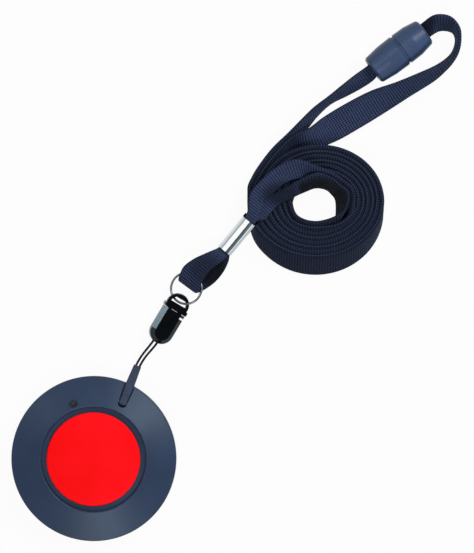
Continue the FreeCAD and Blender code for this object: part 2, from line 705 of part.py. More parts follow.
def button_seal():
    # A silicone ring: its foot lies on the well's floor and its crown bears on the button's cap.
    body = body_named("button_seal_body")
    inner_top = "(button_edge_height - button_wall)"
    crown_inner = "(hub_bore_radius + seal_crown_gap)"
    crown_outer = "(%s + seal_crown_width)" % crown_inner
    foot_inner = "(seal_foot_radius - seal_foot_width)"
    revolved(body, [
        ("seal_foot_radius", "well_floor_height"),
        ("seal_foot_radius", "well_floor_height + seal_foot_height"),
        (foot_inner + " + seal_sheet", "well_floor_height + seal_foot_height"),
        (crown_outer, inner_top),
        (crown_inner, inner_top),
        (crown_inner, inner_top + " - seal_sheet"),
        (crown_outer + " - seal_sheet", inner_top + " - seal_sheet"),
        (foot_inner, "well_floor_height"),
    ])
    finish("button_seal", body)


def switch_pieces():
    half = "switch_side / 2"
    case = block("SwitchBlock", ("-" + half, "-" + half, board_top),
                 (half, half, board_top + " + switch_height"))
    doc.recompute()
    soft = softened("SwitchCase", case, read("switch_round"), lambda edge: edge.BoundBox.ZLength > 1.0)
    well = primitive("Cylinder", "SwitchWell", {
        "Radius": "plunger_radius + fit_gap",
        "Height": "switch_height",
    }, ("0", "0", board_top + " + switch_height - plunger_depth - button_travel"))
    finish("push_switch", cut("PushSwitch", soft, [well]))
    plunger = primitive("Cylinder", "SwitchPlunger", {
        "Radius": "plunger_radius",
        "Height": "plunger_depth + plunger_rise",
    }, ("0", "0", board_top + " + switch_height - plunger_depth"))
    finish("switch_plunger", plunger)


def circuit_board():
    disc = primitive("Cylinder", "BoardDisc", {
        "Radius": "board_radius",
        "Height": "board_thickness",
    }, ("0", "0", board_base))
    holes = []
    step = 360.0 / read("screw_count")
    for number in range(int(read("screw_count"))):
        place = polar("screw_circle", "(screw_first_angle + %s)" % (number * step))
        holes.append(primitive("Cylinder", "BoardHole%d" % number, {
            "Radius": "screw_radius + 3 * fit_gap",
            "Height": "2 * board_thickness",
        }, (place[0], place[1], board_base + " - board_thickness / 2")))
    notch = wedge("BoardNotch", "-block_back - board_notch_gap", "channel_run",
                  "channel_inner_half + channel_wall + board_notch_gap",
                  "channel_outer_half + channel_wall + board_notch_gap", "-lip_height", "0")
    notch.Placement = frame_at(
        read("channel_x"), read("channel_y"), read("lip_height"), read("channel_angle")
    )
    finish("circuit_board", cut("CircuitBoard", disc, holes + [notch]))


def board_chip(node, side_x, side_y, height, x, y):
    # A moulded chip package with its upper edges rounded.
    chip = block(node + "_block", (
        "%s - %s / 2" % (x, side_x), "%s - %s / 2" % (y, side_y), board_top
    ), (
        "%s + %s / 2" % (x, side_x), "%s + %s / 2" % (y, side_y), "%s + %s" % (board_top, height)
    ))
    level = value("%s + %s" % (board_top, height))
    finish(node, softened(node + "_soft", chip, read("chip_round"),
                          lambda edge: edge.BoundBox.ZMin > level - 0.01))


def antenna():
    arc = primitive("Torus", "AntennaArc", {
        "Radius1": "antenna_circle",
        "Radius2": "antenna_wire",
    })
    arc.setExpression("Angle3", bound("antenna_sweep"))
    turn = Rotation(Vector(0, 0, 1), read("antenna_start"))
    height = value(board_top + " + antenna_wire")
    finish("antenna", arc, Placement(Vector(0, 0, height), turn))


def indicator():
    board_chip("status_led", "led_side", "led_side", "led_height", led_at[0], led_at[1])
    body = body_named("light_pipe_body")
    flange = "light_pipe_radius + light_pipe_flange"
    revolved(body, [
        ("0", cone_height("led_circle") + " - led_recess_depth / 2"),
        ("light_pipe_radius * 0.7", cone_height("led_circle") + " - led_recess_depth * 0.6"),
        ("light_pipe_radius", cone_height("led_circle") + " - led_recess_depth"),
        ("light_pipe_radius", floor_under),
        (flange, floor_under),
        (flange, board_top + " + led_height + fit_gap"),
        ("0", board_top + " + led_height + fit_gap"),
    ])
    place = Placement(Vector(value(led_at[0]), value(led_at[1]), 0), Rotation())
    finish("light_pipe", body, place)


def battery_pieces():
    cell = body_named("coin_cell_body")
    revolved(cell, [
        ("0", cell_base),
        ("cell_radius - cell_bevel", cell_base),
        ("cell_radius", cell_base + " + cell_bevel"),
        ("cell_radius", cell_base + " + cell_thickness - cell_cap_rise"),
        ("cell_radius - cell_cap_inset", cell_base + " + cell_thickness - cell_cap_rise"),
        ("cell_radius - cell_cap_inset - cell_bevel", cell_base + " + cell_thickness"),
        ("0", cell_base + " + cell_thickness"),
    ])
    finish("coin_cell", cell)
    half = "clip_strip_width / 2"
    reach = "(cell_radius + 2 * fit_gap)"
    under = block("ClipUnder", ("-(%s + clip_sheet)" % reach, "-" + half, "rear_floor + fit_gap"),
                  ("%s + clip_sheet" % reach, half, cell_base))
    left = block("ClipLeft", ("-(%s + clip_sheet)" % reach, "-" + half, "rear_floor + fit_gap"),
                 ("-" + reach, half, board_base))
    right = block("ClipRight", (reach, "-" + half, "rear_floor + fit_gap"),
                  ("%s + clip_sheet" % reach, half, board_base))
    finish("battery_clip", fused("BatteryClip", [under, left, right]))
    contact = block("ContactPad", ("-contact_half_length", "-" + half, cell_base + " + cell_thickness"),
                    ("contact_half_length", half, board_base))
    finish("battery_contact", contact)


def sealing_ring():
    body = body_named("sealing_ring_body")
    revolved(body, [
        ("seal_groove_radius - seal_groove_width / 2", "split_height - seal_groove_depth"),
        ("seal_groove_radius + seal_groove_width / 2", "split_height - seal_groove_depth"),
        ("seal_groove_radius + seal_groove_width / 2", "split_height"),
        ("seal_groove_radius - seal_groove_width / 2", "split_height"),
    ])
    finish("sealing_ring", body)


def housing_screws():
    # Pan-head screws with a cross recess, driven in from the rear.
    screws = []
    step = 360.0 / read("screw_count")
    for number in range(int(read("screw_count"))):
        place = polar("screw_circle", "(screw_first_angle + %s)" % (number * step))
        head = primitive("Cylinder", "ScrewHead%d" % number, {
            "Radius": "screw_head_radius",
            "Height": "screw_head_height",
        }, (place[0], place[1], "screw_sunk"))
        shank = primitive("Cylinder", "ScrewShank%d" % number, {
            "Radius": "screw_radius",
            "Height": "screw_length - screw_radius / 2",
        }, (place[0], place[1], "screw_sunk + screw_head_height"))
        tip = primitive("Cone", "ScrewTip%d" % number, {
            "Radius1": "screw_radius",
            "Radius2": "screw_radius / 3",
            "Height": "screw_radius / 2",
        }, (place[0], place[1], "screw_sunk + screw_head_height + screw_length - screw_radius / 2"))
        arms = []
        for wide, tall in (("screw_head_radius * 0.6", "screw_head_radius * 0.13"),
                           ("screw_head_radius * 0.13", "screw_head_radius * 0.6")):
            arms.append(block("CrossArm%d" % number, (
                "%s - %s" % (place[0], wide), "%s - %s" % (place[1], tall), "screw_sunk - 0.1"
            ), (
                "%s + %s" % (place[0], wide), "%s + %s" % (place[1], tall),
                "screw_sunk + screw_head_height * 0.6"
            )))
        screws.append(cut("Screw%d" % number, fused("ScrewBlank%d" % number, [head, shank, tip]), arms))
    finish("housing_screws", fused("HousingScrews", screws))


def clip_halves():
    # Socket half: a flat case with bevelled faces, a round lower end and a cavity for the prongs.
    width, thick = "socket_half_width", "socket_half_thickness"
    slab = block("SocketSlab", ("-" + width, width, "-" + thick), (width, "socket_length", thick))
    round_end = primitive("Cylinder", "SocketEnd", {
        "Radius": width, "Height": "2 * " + thick,
    }, ("0", width, "-" + thick))
    blank = fused("SocketBlank", [slab, round_end])
    doc.recompute()
    face_height = read(thick)
    length = read("socket_length")
    bevelled = doc.addObject("Part::Chamfer", "SocketBevel")
    bevelled.Base = blank
    bevelled.Edges = [
        (number, read("socket_bevel"), read("socket_bevel_width"))
        for number, edge in enumerate(blank.Shape.Edges, start=1)
        if edge.BoundBox.ZLength < 1e-6 and edge.BoundBox.YMin < length - 0.01
    ]
    cavity = block("ProngCavity", ("-socket_cavity_half", "socket_cavity_floor", "-socket_cavity_high"),
                   ("socket_cavity_half", "socket_length + 1", "socket_cavity_high"))
    throat_half = "(string_bar_radius + 2 * string_radius + 3 * string_gap)"
    throat_high = "(string_radius + 3 * string_gap)"
    throat = block("StringThroat", ("-" + throat_half, "-1", "-" + throat_high),
                   (throat_half, "string_bar_place + " + throat_half, throat_high))
    bar = primitive("Cylinder", "StringBar", {
        "Radius": "string_bar_radius", "Height": "2 * " + throat_high,
    }, ("0", "string_bar_place", "-" + throat_high))
    open_throat = cut("OpenThroat", throat, [bar])
    notch_end = "(socket_length - notch_place)"
    notch = block("ReleaseNotch", ("socket_half_width - notch_depth", notch_end + " - notch_width", "-" + thick),
                  ("socket_half_width + 1", notch_end, thick))
    finish("clip_socket", cut("ClipSocket", bevelled, [cavity, open_throat, notch]), clip_frame)

    # Plug half: an eye for the ring, shoulders and two prongs.
    foot = "(socket_length + clip_gap)"
    collar = block("Shoulders", ("-collar_half_width", foot, "-collar_half_thickness"),
                   ("collar_half_width", foot + " + collar_length", "collar_half_thickness"))
    doc.recompute()
    shoulders = softened("SoftShoulders", collar, read("collar_round"), lambda edge: edge.BoundBox.XLength < 0.01)
    eye_outer = primitive("Cylinder", "EyeOuter", {
        "Radius": "eye_radius", "Height": "2 * eye_half_thickness",
    }, ("0", "eye_centre_place", "-eye_half_thickness"))
    eye_skirt = block("EyeSkirt", ("-eye_radius", foot + " + collar_length / 2", "-eye_half_thickness"),
                      ("eye_radius", "eye_centre_place", "eye_half_thickness"))
    eye_lower = block("EyeLower", ("-eye_radius - 1", "0", "-2 * eye_half_thickness"),
                      ("eye_radius + 1", foot + " + collar_length / 2", "2 * eye_half_thickness"))
    outer = cut("EyeArch", fused("EyeBlank", [eye_outer, eye_skirt]), [eye_lower])
    hole = primitive("Cylinder", "EyeHole", {
        "Radius": "eye_radius - eye_wall", "Height": "4 * eye_half_thickness",
    }, ("0", "eye_centre_place", "-2 * eye_half_thickness"))
    hole_lower = block("EyeHoleLower", ("-eye_radius", "0", "-4 * eye_half_thickness"),
                       ("eye_radius", foot + " + collar_length + eye_sill", "4 * eye_half_thickness"))
    arch_start = "(eye_centre_place + eye_radius - eye_arch)"
    hole_upper = block("EyeHoleUpper", ("-eye_radius", arch_start, "-4 * eye_half_thickness"),
                       ("eye_radius", arch_start + " + eye_radius", "4 * eye_half_thickness"))
    window = cut("EyeWindow", hole, [hole_lower, hole_upper])
    arch = cut("EyeRing", outer, [window])
    doc.recompute()
    # Only the arch's outer edges are rounded: the ones that span more than half its width.
    soft_arch = softened("SoftEye", arch, read("eye_round"), lambda edge: (
        edge.BoundBox.ZLength < 1e-6 and edge.BoundBox.XLength > 1.5 * read("eye_radius")
        and edge.BoundBox.YLength > read("eye_round")
    ))
    prongs = [
        block("Prong" + name, (inner, foot + " - prong_length", "-prong_half_thickness"),
              (outer_side, foot + " + 0.5", "prong_half_thickness"))
        for name, inner, outer_side in (
            ("Left", "-(socket_cavity_half - clip_gap)", "-(socket_cavity_half - clip_gap - prong_width)"),
            ("Right", "socket_cavity_half - clip_gap - prong_width", "socket_cavity_half - clip_gap"),
        )
    ]
    plug = fused("ClipPlug", [shoulders, soft_arch] + prongs)
    finish("clip_plug", plug, clip_frame)


def lanyard_ring():
    ring = primitive("Torus", "LanyardRing", {"Radius1": "ring_radius", "Radius2": "ring_wire"})
    flat = frame_at(read("clip_x"), read("clip_y"), read("ring_height"), read("clip_angle"))
    centre = flat.multVec(Vector(read("ring_across"), read("ring_along"), 0))
    turn = frame_at(0, 0, 0, read("clip_angle"), roll=-read("ring_tilt")).Rotation
    finish("lanyard_ring", ring, Placement(centre, turn))


def crimp():
    # A folded sheet sleeve with a seam along its underside.
    wide, thick = "crimp_half_width", "crimp_half_thickness"
    long_side = str(crimp_length)
    outer = block("CrimpOuter", ("-" + wide, "0", "-" + thick), (wide, long_side, thick))
    soft = softened("CrimpSoft", outer, read("crimp_round"), lambda edge: edge.BoundBox.YLength > 1.0)
    inner = block("CrimpInner", (
        "-(%s - crimp_sheet)" % wide, "-1", "-(%s - crimp_sheet)" % thick
    ), ("%s - crimp_sheet" % wide, long_side + " + 1", "%s - crimp_sheet" % thick))
    hollow = softened("CrimpHollow", inner, read("crimp_round") - read("crimp_sheet"),
                      lambda edge: edge.BoundBox.YLength > 1.0)
    seam = block("CrimpSeam", ("-crimp_seam / 2", "-1", "-2 * " + thick),
                 ("crimp_seam / 2", long_side + " + 1", "0"))
    finish("crimp", cut("CrimpSleeve", soft, [hollow, seam]), crimp_frame)


def breakaway_halves():
    # Both halves are turned about the connector's axis, which is the local y axis.
    socket = body_named("breakaway_socket_body")
    revolved(socket, [
        ("0", "-groove_half"),
        ("barrel_radius - groove_bevel", "-groove_half"),
        ("barrel_radius", "-groove_half - groove_bevel"),
        ("barrel_waist_radius", "-socket_half_end / 2"),
        ("socket_end_radius", "-socket_half_end + barrel_round"),
        ("socket_end_radius - barrel_round", "-socket_half_end"),
        ("0", "-socket_half_end"),
    ], role="XY_Plane")
    bore = primitive("Cylinder", "StudBore", {
        "Radius": "stud_radius + stud_gap", "Height": "stud_length + 2 * groove_half",
    }, ("0", "groove_half - 0.1", "0"), Rotation(Vector(1, 0, 0), 90))
    mouth = strap_mouth("SocketMouth", "-socket_half_end - 1", "-socket_half_end + mouth_depth")
    finish("breakaway_socket", cut("BreakawaySocket", socket, [bore, mouth]), barrel_frame)

    plug = body_named("breakaway_plug_body")
    revolved(plug, [
        ("0", "-stud_length"),
        ("stud_radius - stud_bevel", "-stud_length"),
        ("stud_radius", "-stud_length + stud_bevel"),
        ("stud_radius", "-groove_half + stud_gap"),
        ("barrel_radius - groove_depth", "-groove_half + stud_gap"),
        ("barrel_radius - groove_depth", "groove_half"),
        ("barrel_radius - groove_bevel", "groove_half"),
        ("barrel_radius", "groove_half + groove_bevel"),
        ("barrel_waist_radius", "plug_half_end / 2"),
        ("plug_end_radius", "plug_half_end - barrel_round"),
        ("plug_end_radius - barrel_round", "plug_half_end"),
        ("0", "plug_half_end"),
    ], role="XY_Plane")
    mouth = strap_mouth("PlugMouth", "plug_half_end - mouth_depth", "plug_half_end + 1")
    finish("breakaway_plug", cut("BreakawayPlug", plug, [mouth]), barrel_frame)


def strap_mouth(name, near, far):
    mouth = block(name, ("-mouth_half_width", near, "-mouth_half_height"),
                  ("mouth_half_width", far, "mouth_half_height"))
    return softened(name + "Soft", mouth, read("mouth_round"), lambda edge: edge.BoundBox.YLength > 1.0)


def rounded_path(points):
    # Straight runs joined by tangent arcs, each as large as its two runs allow.
    edges, radii = [], []
    start = points[0]
    for before, corner, after in zip(points, points[1:], points[2:]):
        back, ahead = before - corner, after - corner
        shorter = min(back.Length, ahead.Length)
        half_turn = (math.pi - back.getAngle(ahead)) / 2
        reach = 0.45 * shorter
        radii.append(reach / math.tan(half_turn))
        back.normalize()
        ahead.normalize()
        enter, leave = corner + back * reach, corner + ahead * reach
        inward = (back + ahead).normalize()
        middle = corner + inward * (radii[-1] / math.cos(half_turn) - radii[-1])
        edges.append(Part.LineSegment(start, enter).toShape())
        edges.append(Part.Arc(enter, middle, leave).toShape())
        start = leave
    edges.append(Part.LineSegment(start, points[-1]).toShape())
    return Part.Wire(edges), radii


def cord_loop():
    # The string leaves the tab, goes round the bar in the clip and comes back.
    radius, gap = read("string_radius"), read("string_gap")
    spacing, tab_end = read("string_half_spacing"), read("tab_length")
    middle = -read("channel_depth") + read("fit_gap") + read("tab_half_thickness")
    fold = read("string_bar_radius") + radius + gap
    fold_place = read("string_bar_place") + fold
    seat = tab_end - read("tab_bore_depth") + gap
    bend = tab_end + read("string_bend_place")
    mouth = -read("string_mouth_place")
    left, right = [], []
    for side, half in ((-1, left), (1, right)):
        half.append(channel_frame.multVec(Vector(side * spacing, seat, middle)))
        half.append(channel_frame.multVec(Vector(side * spacing, bend, middle)))
        half.append(clip_frame.multVec(Vector(side * fold, mouth, 0)))
        half.append(clip_frame.multVec(Vector(side * fold, fold_place, 0)))
    wire, radii = rounded_path(left + right[::-1])
    start = wire.Edges[0]
    section = Part.Wire(Part.Circle(left[0], start.tangentAt(0), radius).toShape())
    tube = wire.makePipeShell([section], True, True)
    expected = math.pi * radius ** 2 * wire.Length
    print("string radii", [round(size, 2) for size in radii])
    print("string length", round(wire.Length, 1), "volume share", round(tube.Volume / expected, 3))
    shaped("cord_loop", tube)


def sections_through(stations):
    # The four corners of the webbing at each pair of edge points, square to the way it runs.
    half = read("strap_thickness") / 2
    sections = []
    for index, (first, second) in enumerate(stations):
        before = stations[max(index - 1, 0)]
        after = stations[min(index + 1, len(stations) - 1)]
        along = (after[0] + after[1] - before[0] - before[1]).normalize()
        off = along.cross(second - first).normalize() * half
        sections.append((first - off, second - off, second + off, first + off))
    return sections


def ribbon(node, sections):
    # A stretch of webbing: a ruled solid through the corners of its sections.
    outlines = [Part.makePolygon(list(corners) + [corners[0]]) for corners in sections]
    shaped(node, Part.makeLoft(outlines, True, True))


def pair(first, second):
    return Vector(*first), Vector(*second)


def crimp_station(place, layer):
    # A pair of edge points inside the crimp: layer 1 is the upper strand, -1 the lower.
    rise = layer * (read("strap_thickness") + read("strand_gap")) / 2
    half = read("crimp_half_width") - read("crimp_sheet") - read("strand_side_gap")
    return (
        crimp_frame.multVec(Vector(half, place, rise)),
        crimp_frame.multVec(Vector(-half, place, rise)),
    )


def roll_point(strand, turns):
    # A point of the strand's middle line on the roll's upper rim; strand 0 is the outer of the pair.
    long_half = read("roll_half_long") - read("roll_band") / 2
    short_half = read("roll_half_short") - read("roll_band") / 2
    layers = strand + 2 * turns
    angle = math.pi + 2 * math.pi * turns
    return Vector(
        read("roll_x") + (long_half - read("roll_pitch_long") * layers) * math.cos(angle),
        read("roll_y") + (short_half - read("roll_pitch_short") * layers) * math.sin(angle),
        0,
    )


# Where the two strands reach the roll, seen from above on its upper rim: outer strand, then inner.
ROLL_ENTRY = (
    ((68.4, 114.0), (63.3, 109.1), (58.95, 103.6), (56.05, 98.9), (54.7, 94.8)),
    ((69.5, 112.9), (64.5, 108.1), (60.2, 102.75), (57.45, 98.3), (56.2, 94.7)),
)


def roll_line(strand):
    points = [Vector(x, y, 0) for x, y in ROLL_ENTRY[strand]]
    steps = int(read("roll_turns") * read("roll_steps"))
    for number in range(1, steps + 1):
        points.append(roll_point(strand, read("roll_turns") * number / steps))
    return points


def side_line(points, offset):
    # The line's left or right side, at a distance from it. The roll's inner end faces against y.
    sides = []
    last = points[-1] - Vector(0, 1, 0)
    for index, point in enumerate(points):
        before = points[max(index - 1, 0)] if index < len(points) - 1 else point
        after = (points + [last])[index + 1]
        along = (after - before).normalize()
        sides.append(point + Vector(-along.y, along.x, 0) * offset)
    return sides


def travelled(points):
    # The distance along the line at each of its points.
    distances = [0.0]
    for point, following in zip(points, points[1:]):
        distances.append(distances[-1] + (following - point).Length)
    return distances


def interpolated(line):
    # Smooth edges through (point, distance) pairs, parted every quarter turn so that each is short.
    curve = Part.BSplineCurve()
    points, distances = zip(*line)
    curve.interpolate(Points=list(points), Parameters=list(distances))
    quarter = int(read("roll_steps") / 4)
    stops = [*distances[:-1:quarter], distances[-1]]
    return [curve.toShape(first, last) for first, last in zip(stops, stops[1:])]


def backwards(line):
    length = line[-1][1]
    return [(point, length - place) for point, place in line[::-1]]


def foot_of(rim, middle):
    # The foot of the leaning webbing: the lean is less on the roll's far side.
    near_edge = read("roll_y") - read("roll_half_short") + read("roll_band") / 2
    lean = read("roll_lean") - read("roll_lean_fall") * (middle.y - near_edge)
    return Vector(rim.x, rim.y - lean, 0)


def rim_of(rim, middle):
    return Vector(rim.x, rim.y, read("roll_height"))


def band_wire(level):
    # The outline of both strands at the foot or at the rim. The roll winds anticlockwise,
    # so the left side of each line faces the middle.
    half = read("roll_band") / 2
    lines = []
    for strand, offset, stop in ((0, -half, None), (1, half, None), (1, -half, -1), (0, half, -1)):
        middles = roll_line(strand)
        sides = [level(side, middle) for side, middle in zip(side_line(middles, offset), middles)]
        lines.append(list(zip(sides, travelled(middles)))[:stop])
    outer_far, inner_near, inner_far, outer_near = lines
    around = [outer_far, backwards(inner_near), inner_far, backwards(outer_near)]
    edges = []
    for line, following in zip(around, around[1:] + around[:1]):
        edges.extend(interpolated(line))
        edges.append(Part.LineSegment(line[-1][0], following[0][0]).toShape())
    return Part.Wire(edges)


def strap_roll():
    # Both strands wound together on edge, leaning away from the viewer: one band, foot to rim.
    shaped("strap_roll", Part.makeLoft([band_wire(foot_of), band_wire(rim_of)], True, True))


def rim_pair(point):
    # Foot and upper edge of the leaning webbing at a point of the roll's upper rim.
    return foot_of(point, point), rim_of(point, point)


def roll_section(point, along):
    # The roll's own end face, for a stretch that runs on from it or up to it.
    foot, upper = rim_pair(point)
    left = Vector(-along.y, along.x, 0).normalize() * (read("roll_band") / 2)
    return foot + left, upper + left, upper - left, foot - left


def entry_section(strand):
    start, following = (Vector(x, y, 0) for x, y in ROLL_ENTRY[strand][:2])
    return roll_section(start, following - start)


def strap_stretches():
    # From the connector's socket half to the outer strand of the roll: lower right edge, upper left edge.
    back = sections_through([
        pair((100.7, 136.4, 5.9), (98.1, 139.7, 6.1)),
        pair((98.7, 133.4, 5.2), (95.2, 137.4, 6.4)),
        pair((94.9, 130.9, 3.2), (91.8, 134.8, 7.2)),
        pair((89.0, 128.0, 1.0), (86.9, 130.6, 8.8)),
        pair((83.3, 125.2, 0.6), (82.4, 126.8, 9.6)),
        pair((78.6, 120.9, 0.6), (77.7, 123.3, 9.2)),
        pair((74.0, 115.2, 0.7), (73.3, 119.2, 8.2)),
        rim_pair(Vector(*ROLL_ENTRY[0][0], 0)),
    ])
    ribbon("strap_back", back[:-1] + [entry_section(0)])
    # The end of the neck loop, from the connector's plug half round to the face-up strand.
    loop = [
        pair((112.3, 150.4, 6.5), (115.5, 146.1, 5.5)),
        pair((115.6, 153.2, 7.4), (118.6, 148.7, 4.6)),
        pair((119.9, 155.8, 8.6), (121.4, 150.5, 2.6)),
        pair((124.9, 155.2, 9.2), (124.2, 150.9, 1.0)),
        pair((128.0, 151.6, 9.8), (126.9, 150.0, 0.3)),
        pair((128.5, 147.4, 10.0), (127.8, 147.2, 0.1)),
        pair((127.8, 143.0, 10.0), (126.8, 143.6, 0.1)),
        pair((125.8, 139.2, 9.9), (124.6, 141.0, 0.3)),
        pair((122.6, 135.6, 9.8), (121.0, 138.6, 0.5)),
    ]
    # The face-up strand from the neck loop to the inner strand of the roll.
    front = sections_through(loop + [
        pair((118.9, 132.4, 9.3), (116.4, 136.5, 0.8)),
        pair((110.5, 127.0, 7.8), (106.8, 132.7, 0.9)),
        pair((102.6, 121.8, 4.4), (97.7, 129.7, 1.0)),
        pair((94.2, 116.7, 2.2), (89.2, 125.4, 1.1)),
        pair((85.6, 111.9, 1.2), (80.6, 120.2, 1.6)),
        pair((77.8, 110.8, 0.8), (75.2, 115.6, 7.4)),
        rim_pair(Vector(*ROLL_ENTRY[1][0], 0)),
    ])
    split = len(loop)
    ribbon("strap_neck_loop", front[:split + 1])
    ribbon("strap_front", front[split:-1] + [entry_section(1)])
    last_outer = roll_point(0, read("roll_turns"))
    last_inner = roll_point(1, read("roll_turns"))
    middle, outside = crimp_length / 2, crimp_length + read("crimp_overhang")
    below = -read("crimp_foot_overhang")
    # The roll's last half turn, then up over its rim and down into the crimp.
    upper = [
        rim_pair(last_outer),
        pair((65.9, 81.4, 0.35), (65.9, 86.9, 7.65)),
        pair((69.2, 78.4, 0.45), (69.0, 84.1, 7.8)),
        pair((73.7, 76.2, 0.5), (73.6, 82.0, 7.9)),
        pair((79.0, 75.6, 0.5), (79.0, 81.5, 7.9)),
        pair((84.2, 77.4, 0.45), (85.2, 83.0, 7.9)),
        pair((86.6, 80.8, 0.4), (89.0, 85.7, 7.9)),
        pair((87.3, 86.0, 0.4), (91.1, 90.0, 8.0)),
        pair((86.9, 91.5, 0.4), (90.9, 94.7, 8.2)),
        pair((85.4, 94.6, 0.6), (88.2, 97.3, 8.6)),
        pair((82.3, 96.5, 1.0), (84.0, 100.3, 9.9)),
        pair((78.3, 97.2, 2.7), (79.0, 102.3, 11.3)),
        pair((73.0, 98.5, 7.9), (71.2, 105.0, 12.6)),
        pair((67.9, 97.2, 9.6), (64.6, 102.6, 11.9)),
        pair((63.6, 93.7, 10.4), (59.3, 98.4, 11.8)),
        pair((59.6, 89.3, 10.9), (54.9, 93.0, 11.9)),
        crimp_station(outside, 1),
    ]
    lower = [
        rim_pair(last_inner),
        pair((67.8, 82.1, 0.35), (67.7, 87.6, 7.7)),
        pair((70.4, 79.8, 0.45), (70.2, 85.5, 7.8)),
        pair((74.3, 77.9, 0.5), (74.2, 83.7, 7.9)),
        pair((79.0, 77.4, 0.5), (79.0, 83.3, 7.9)),
        pair((83.3, 79.1, 0.45), (84.4, 84.7, 7.9)),
        pair((85.1, 82.1, 0.4), (87.7, 86.9, 7.9)),
        pair((85.6, 86.6, 0.4), (89.4, 90.4, 8.0)),
        pair((85.3, 91.0, 0.4), (89.3, 94.0, 8.2)),
        pair((83.9, 93.2, 0.6), (86.8, 96.0, 8.6)),
        pair((81.6, 94.9, 1.0), (83.3, 98.7, 9.7)),
        pair((77.8, 95.3, 2.5), (78.5, 100.2, 10.9)),
        pair((73.9, 93.7, 5.6), (72.3, 97.8, 9.9)),
        pair((69.9, 91.6, 8.3), (66.9, 95.0, 8.7)),
        pair((64.4, 88.6, 8.6), (61.3, 91.9, 9.0)),
        pair((59.9, 83.9, 8.6), (56.3, 87.4, 8.8)),
        crimp_station(outside, -1),
    ]
    # The loop that holds the ring: down from the crimp, round a fold and back under itself.
    ring_loop = [
        crimp_station(middle, 1),
        crimp_station(below, 1),
        pair((44.9, 69.3, 5.6), (39.9, 72.5, 6.4)),
        pair((40.6, 65.9, 6.7), (35.2, 70.3, 7.0)),
        pair((38.0, 62.0, 6.6), (31.6, 67.6, 6.7)),
        pair((37.2, 59.2, 5.8), (30.2, 64.9, 5.9)),
        pair((36.2, 58.4, 3.5), (29.7, 63.2, 3.5)),
        pair((37.9, 58.8, 0.7), (30.6, 64.4, 0.7)),
        pair((42.2, 61.7, 0.7), (34.8, 68.2, 0.7)),
        pair((45.4, 65.4, 1.1), (38.8, 71.0, 1.0)),
        pair((47.3, 69.2, 1.9), (41.8, 73.0, 1.8)),
        crimp_station(below, -1),
        crimp_station(middle, -1),
    ]
    strand = sections_through(upper + ring_loop + lower[::-1])
    first, last = len(upper), len(upper) + len(ring_loop) - 1
    away = Vector(0, -1, 0)
    ribbon("strap_lead_upper", [roll_section(last_outer, away)] + strand[1:first + 1])
    ribbon("strap_ring_loop", strand[first:last + 1])
    ribbon("strap_lead_lower", strand[last:-1] + [roll_section(last_inner, -away)])


rear_shell()
front_shell()
strap_pin()
strap_tab()
call_button()
button_seal()
switch_pieces()
circuit_board()
board_chip("radio_chip", "chip_side", "chip_side", "chip_height", "chip_x", "chip_y")
board_chip("crystal_can", "crystal_long", "crystal_wide", "crystal_height", "crystal_x", "crystal_y")
antenna()
indicator()
battery_pieces()
sealing_ring()
housing_screws()
clip_halves()
lanyard_ring()
crimp()
breakaway_halves()
cord_loop()
strap_roll()
strap_stretches()

doc.recompute()
faults = [
    "%s %s" % (item.Name, item.State)
    for item in doc.Objects
    if "Invalid" in item.State or "Error" in item.State
]
for node, result in finished:
    if result.Shape.isNull() or not result.Shape.isValid():
        faults.append("%s has no valid shape" % node)
if faults:
    raise RuntimeError("; ".join(faults))

os.makedirs("parts", exist_ok=True)
for node, result in finished:
    result.Shape.exportStep("parts/%s.step" % node)
    box = result.Shape.BoundBox
    print("%-18s %9.2f mm3  z %.2f to %.2f  solids %d" % (
        node, result.Shape.Volume, box.ZMin, box.ZMax, len(result.Shape.Solids)))
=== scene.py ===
import bpy
import bmesh
import json
import math
import random
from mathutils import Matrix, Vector


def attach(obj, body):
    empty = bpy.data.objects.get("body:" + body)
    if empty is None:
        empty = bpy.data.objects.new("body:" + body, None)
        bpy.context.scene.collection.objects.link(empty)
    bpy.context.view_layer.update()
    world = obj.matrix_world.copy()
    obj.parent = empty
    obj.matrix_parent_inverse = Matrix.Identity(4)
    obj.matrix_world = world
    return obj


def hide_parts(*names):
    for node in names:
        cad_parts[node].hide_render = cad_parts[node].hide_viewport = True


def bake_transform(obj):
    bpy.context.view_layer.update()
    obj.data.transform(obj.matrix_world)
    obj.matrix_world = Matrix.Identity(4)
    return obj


# Pendant transmitter on a rolled neck lanyard, dressed round its CAD frame. Metres, +Z up.
# Sizes in the dictionaries are millimetres where a name ends in Mm.

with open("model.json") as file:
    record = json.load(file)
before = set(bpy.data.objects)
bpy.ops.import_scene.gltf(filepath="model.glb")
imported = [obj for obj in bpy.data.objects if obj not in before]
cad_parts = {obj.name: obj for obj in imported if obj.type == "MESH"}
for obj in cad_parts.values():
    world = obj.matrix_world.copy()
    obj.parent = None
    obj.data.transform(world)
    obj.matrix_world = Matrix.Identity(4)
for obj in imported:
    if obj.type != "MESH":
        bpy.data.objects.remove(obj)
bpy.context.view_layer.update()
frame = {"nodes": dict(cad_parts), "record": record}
nodes = frame["nodes"]
mm = 0.001
print("frame loaded:", len(nodes), "nodes")

# The camera looks straight down on the table, from far off through a long lens.
photoView = {
    "middleMm": (50.3, 64.0),  # table point in the middle of the picture
    "viewHeightMm": 194.7,  # table from the picture's bottom to its top
    "planeMm": 5.0,  # height at which that scale holds
    "lens": 200.0,
    "sensor": 36.0,
    "nearClip": 0.02,
}


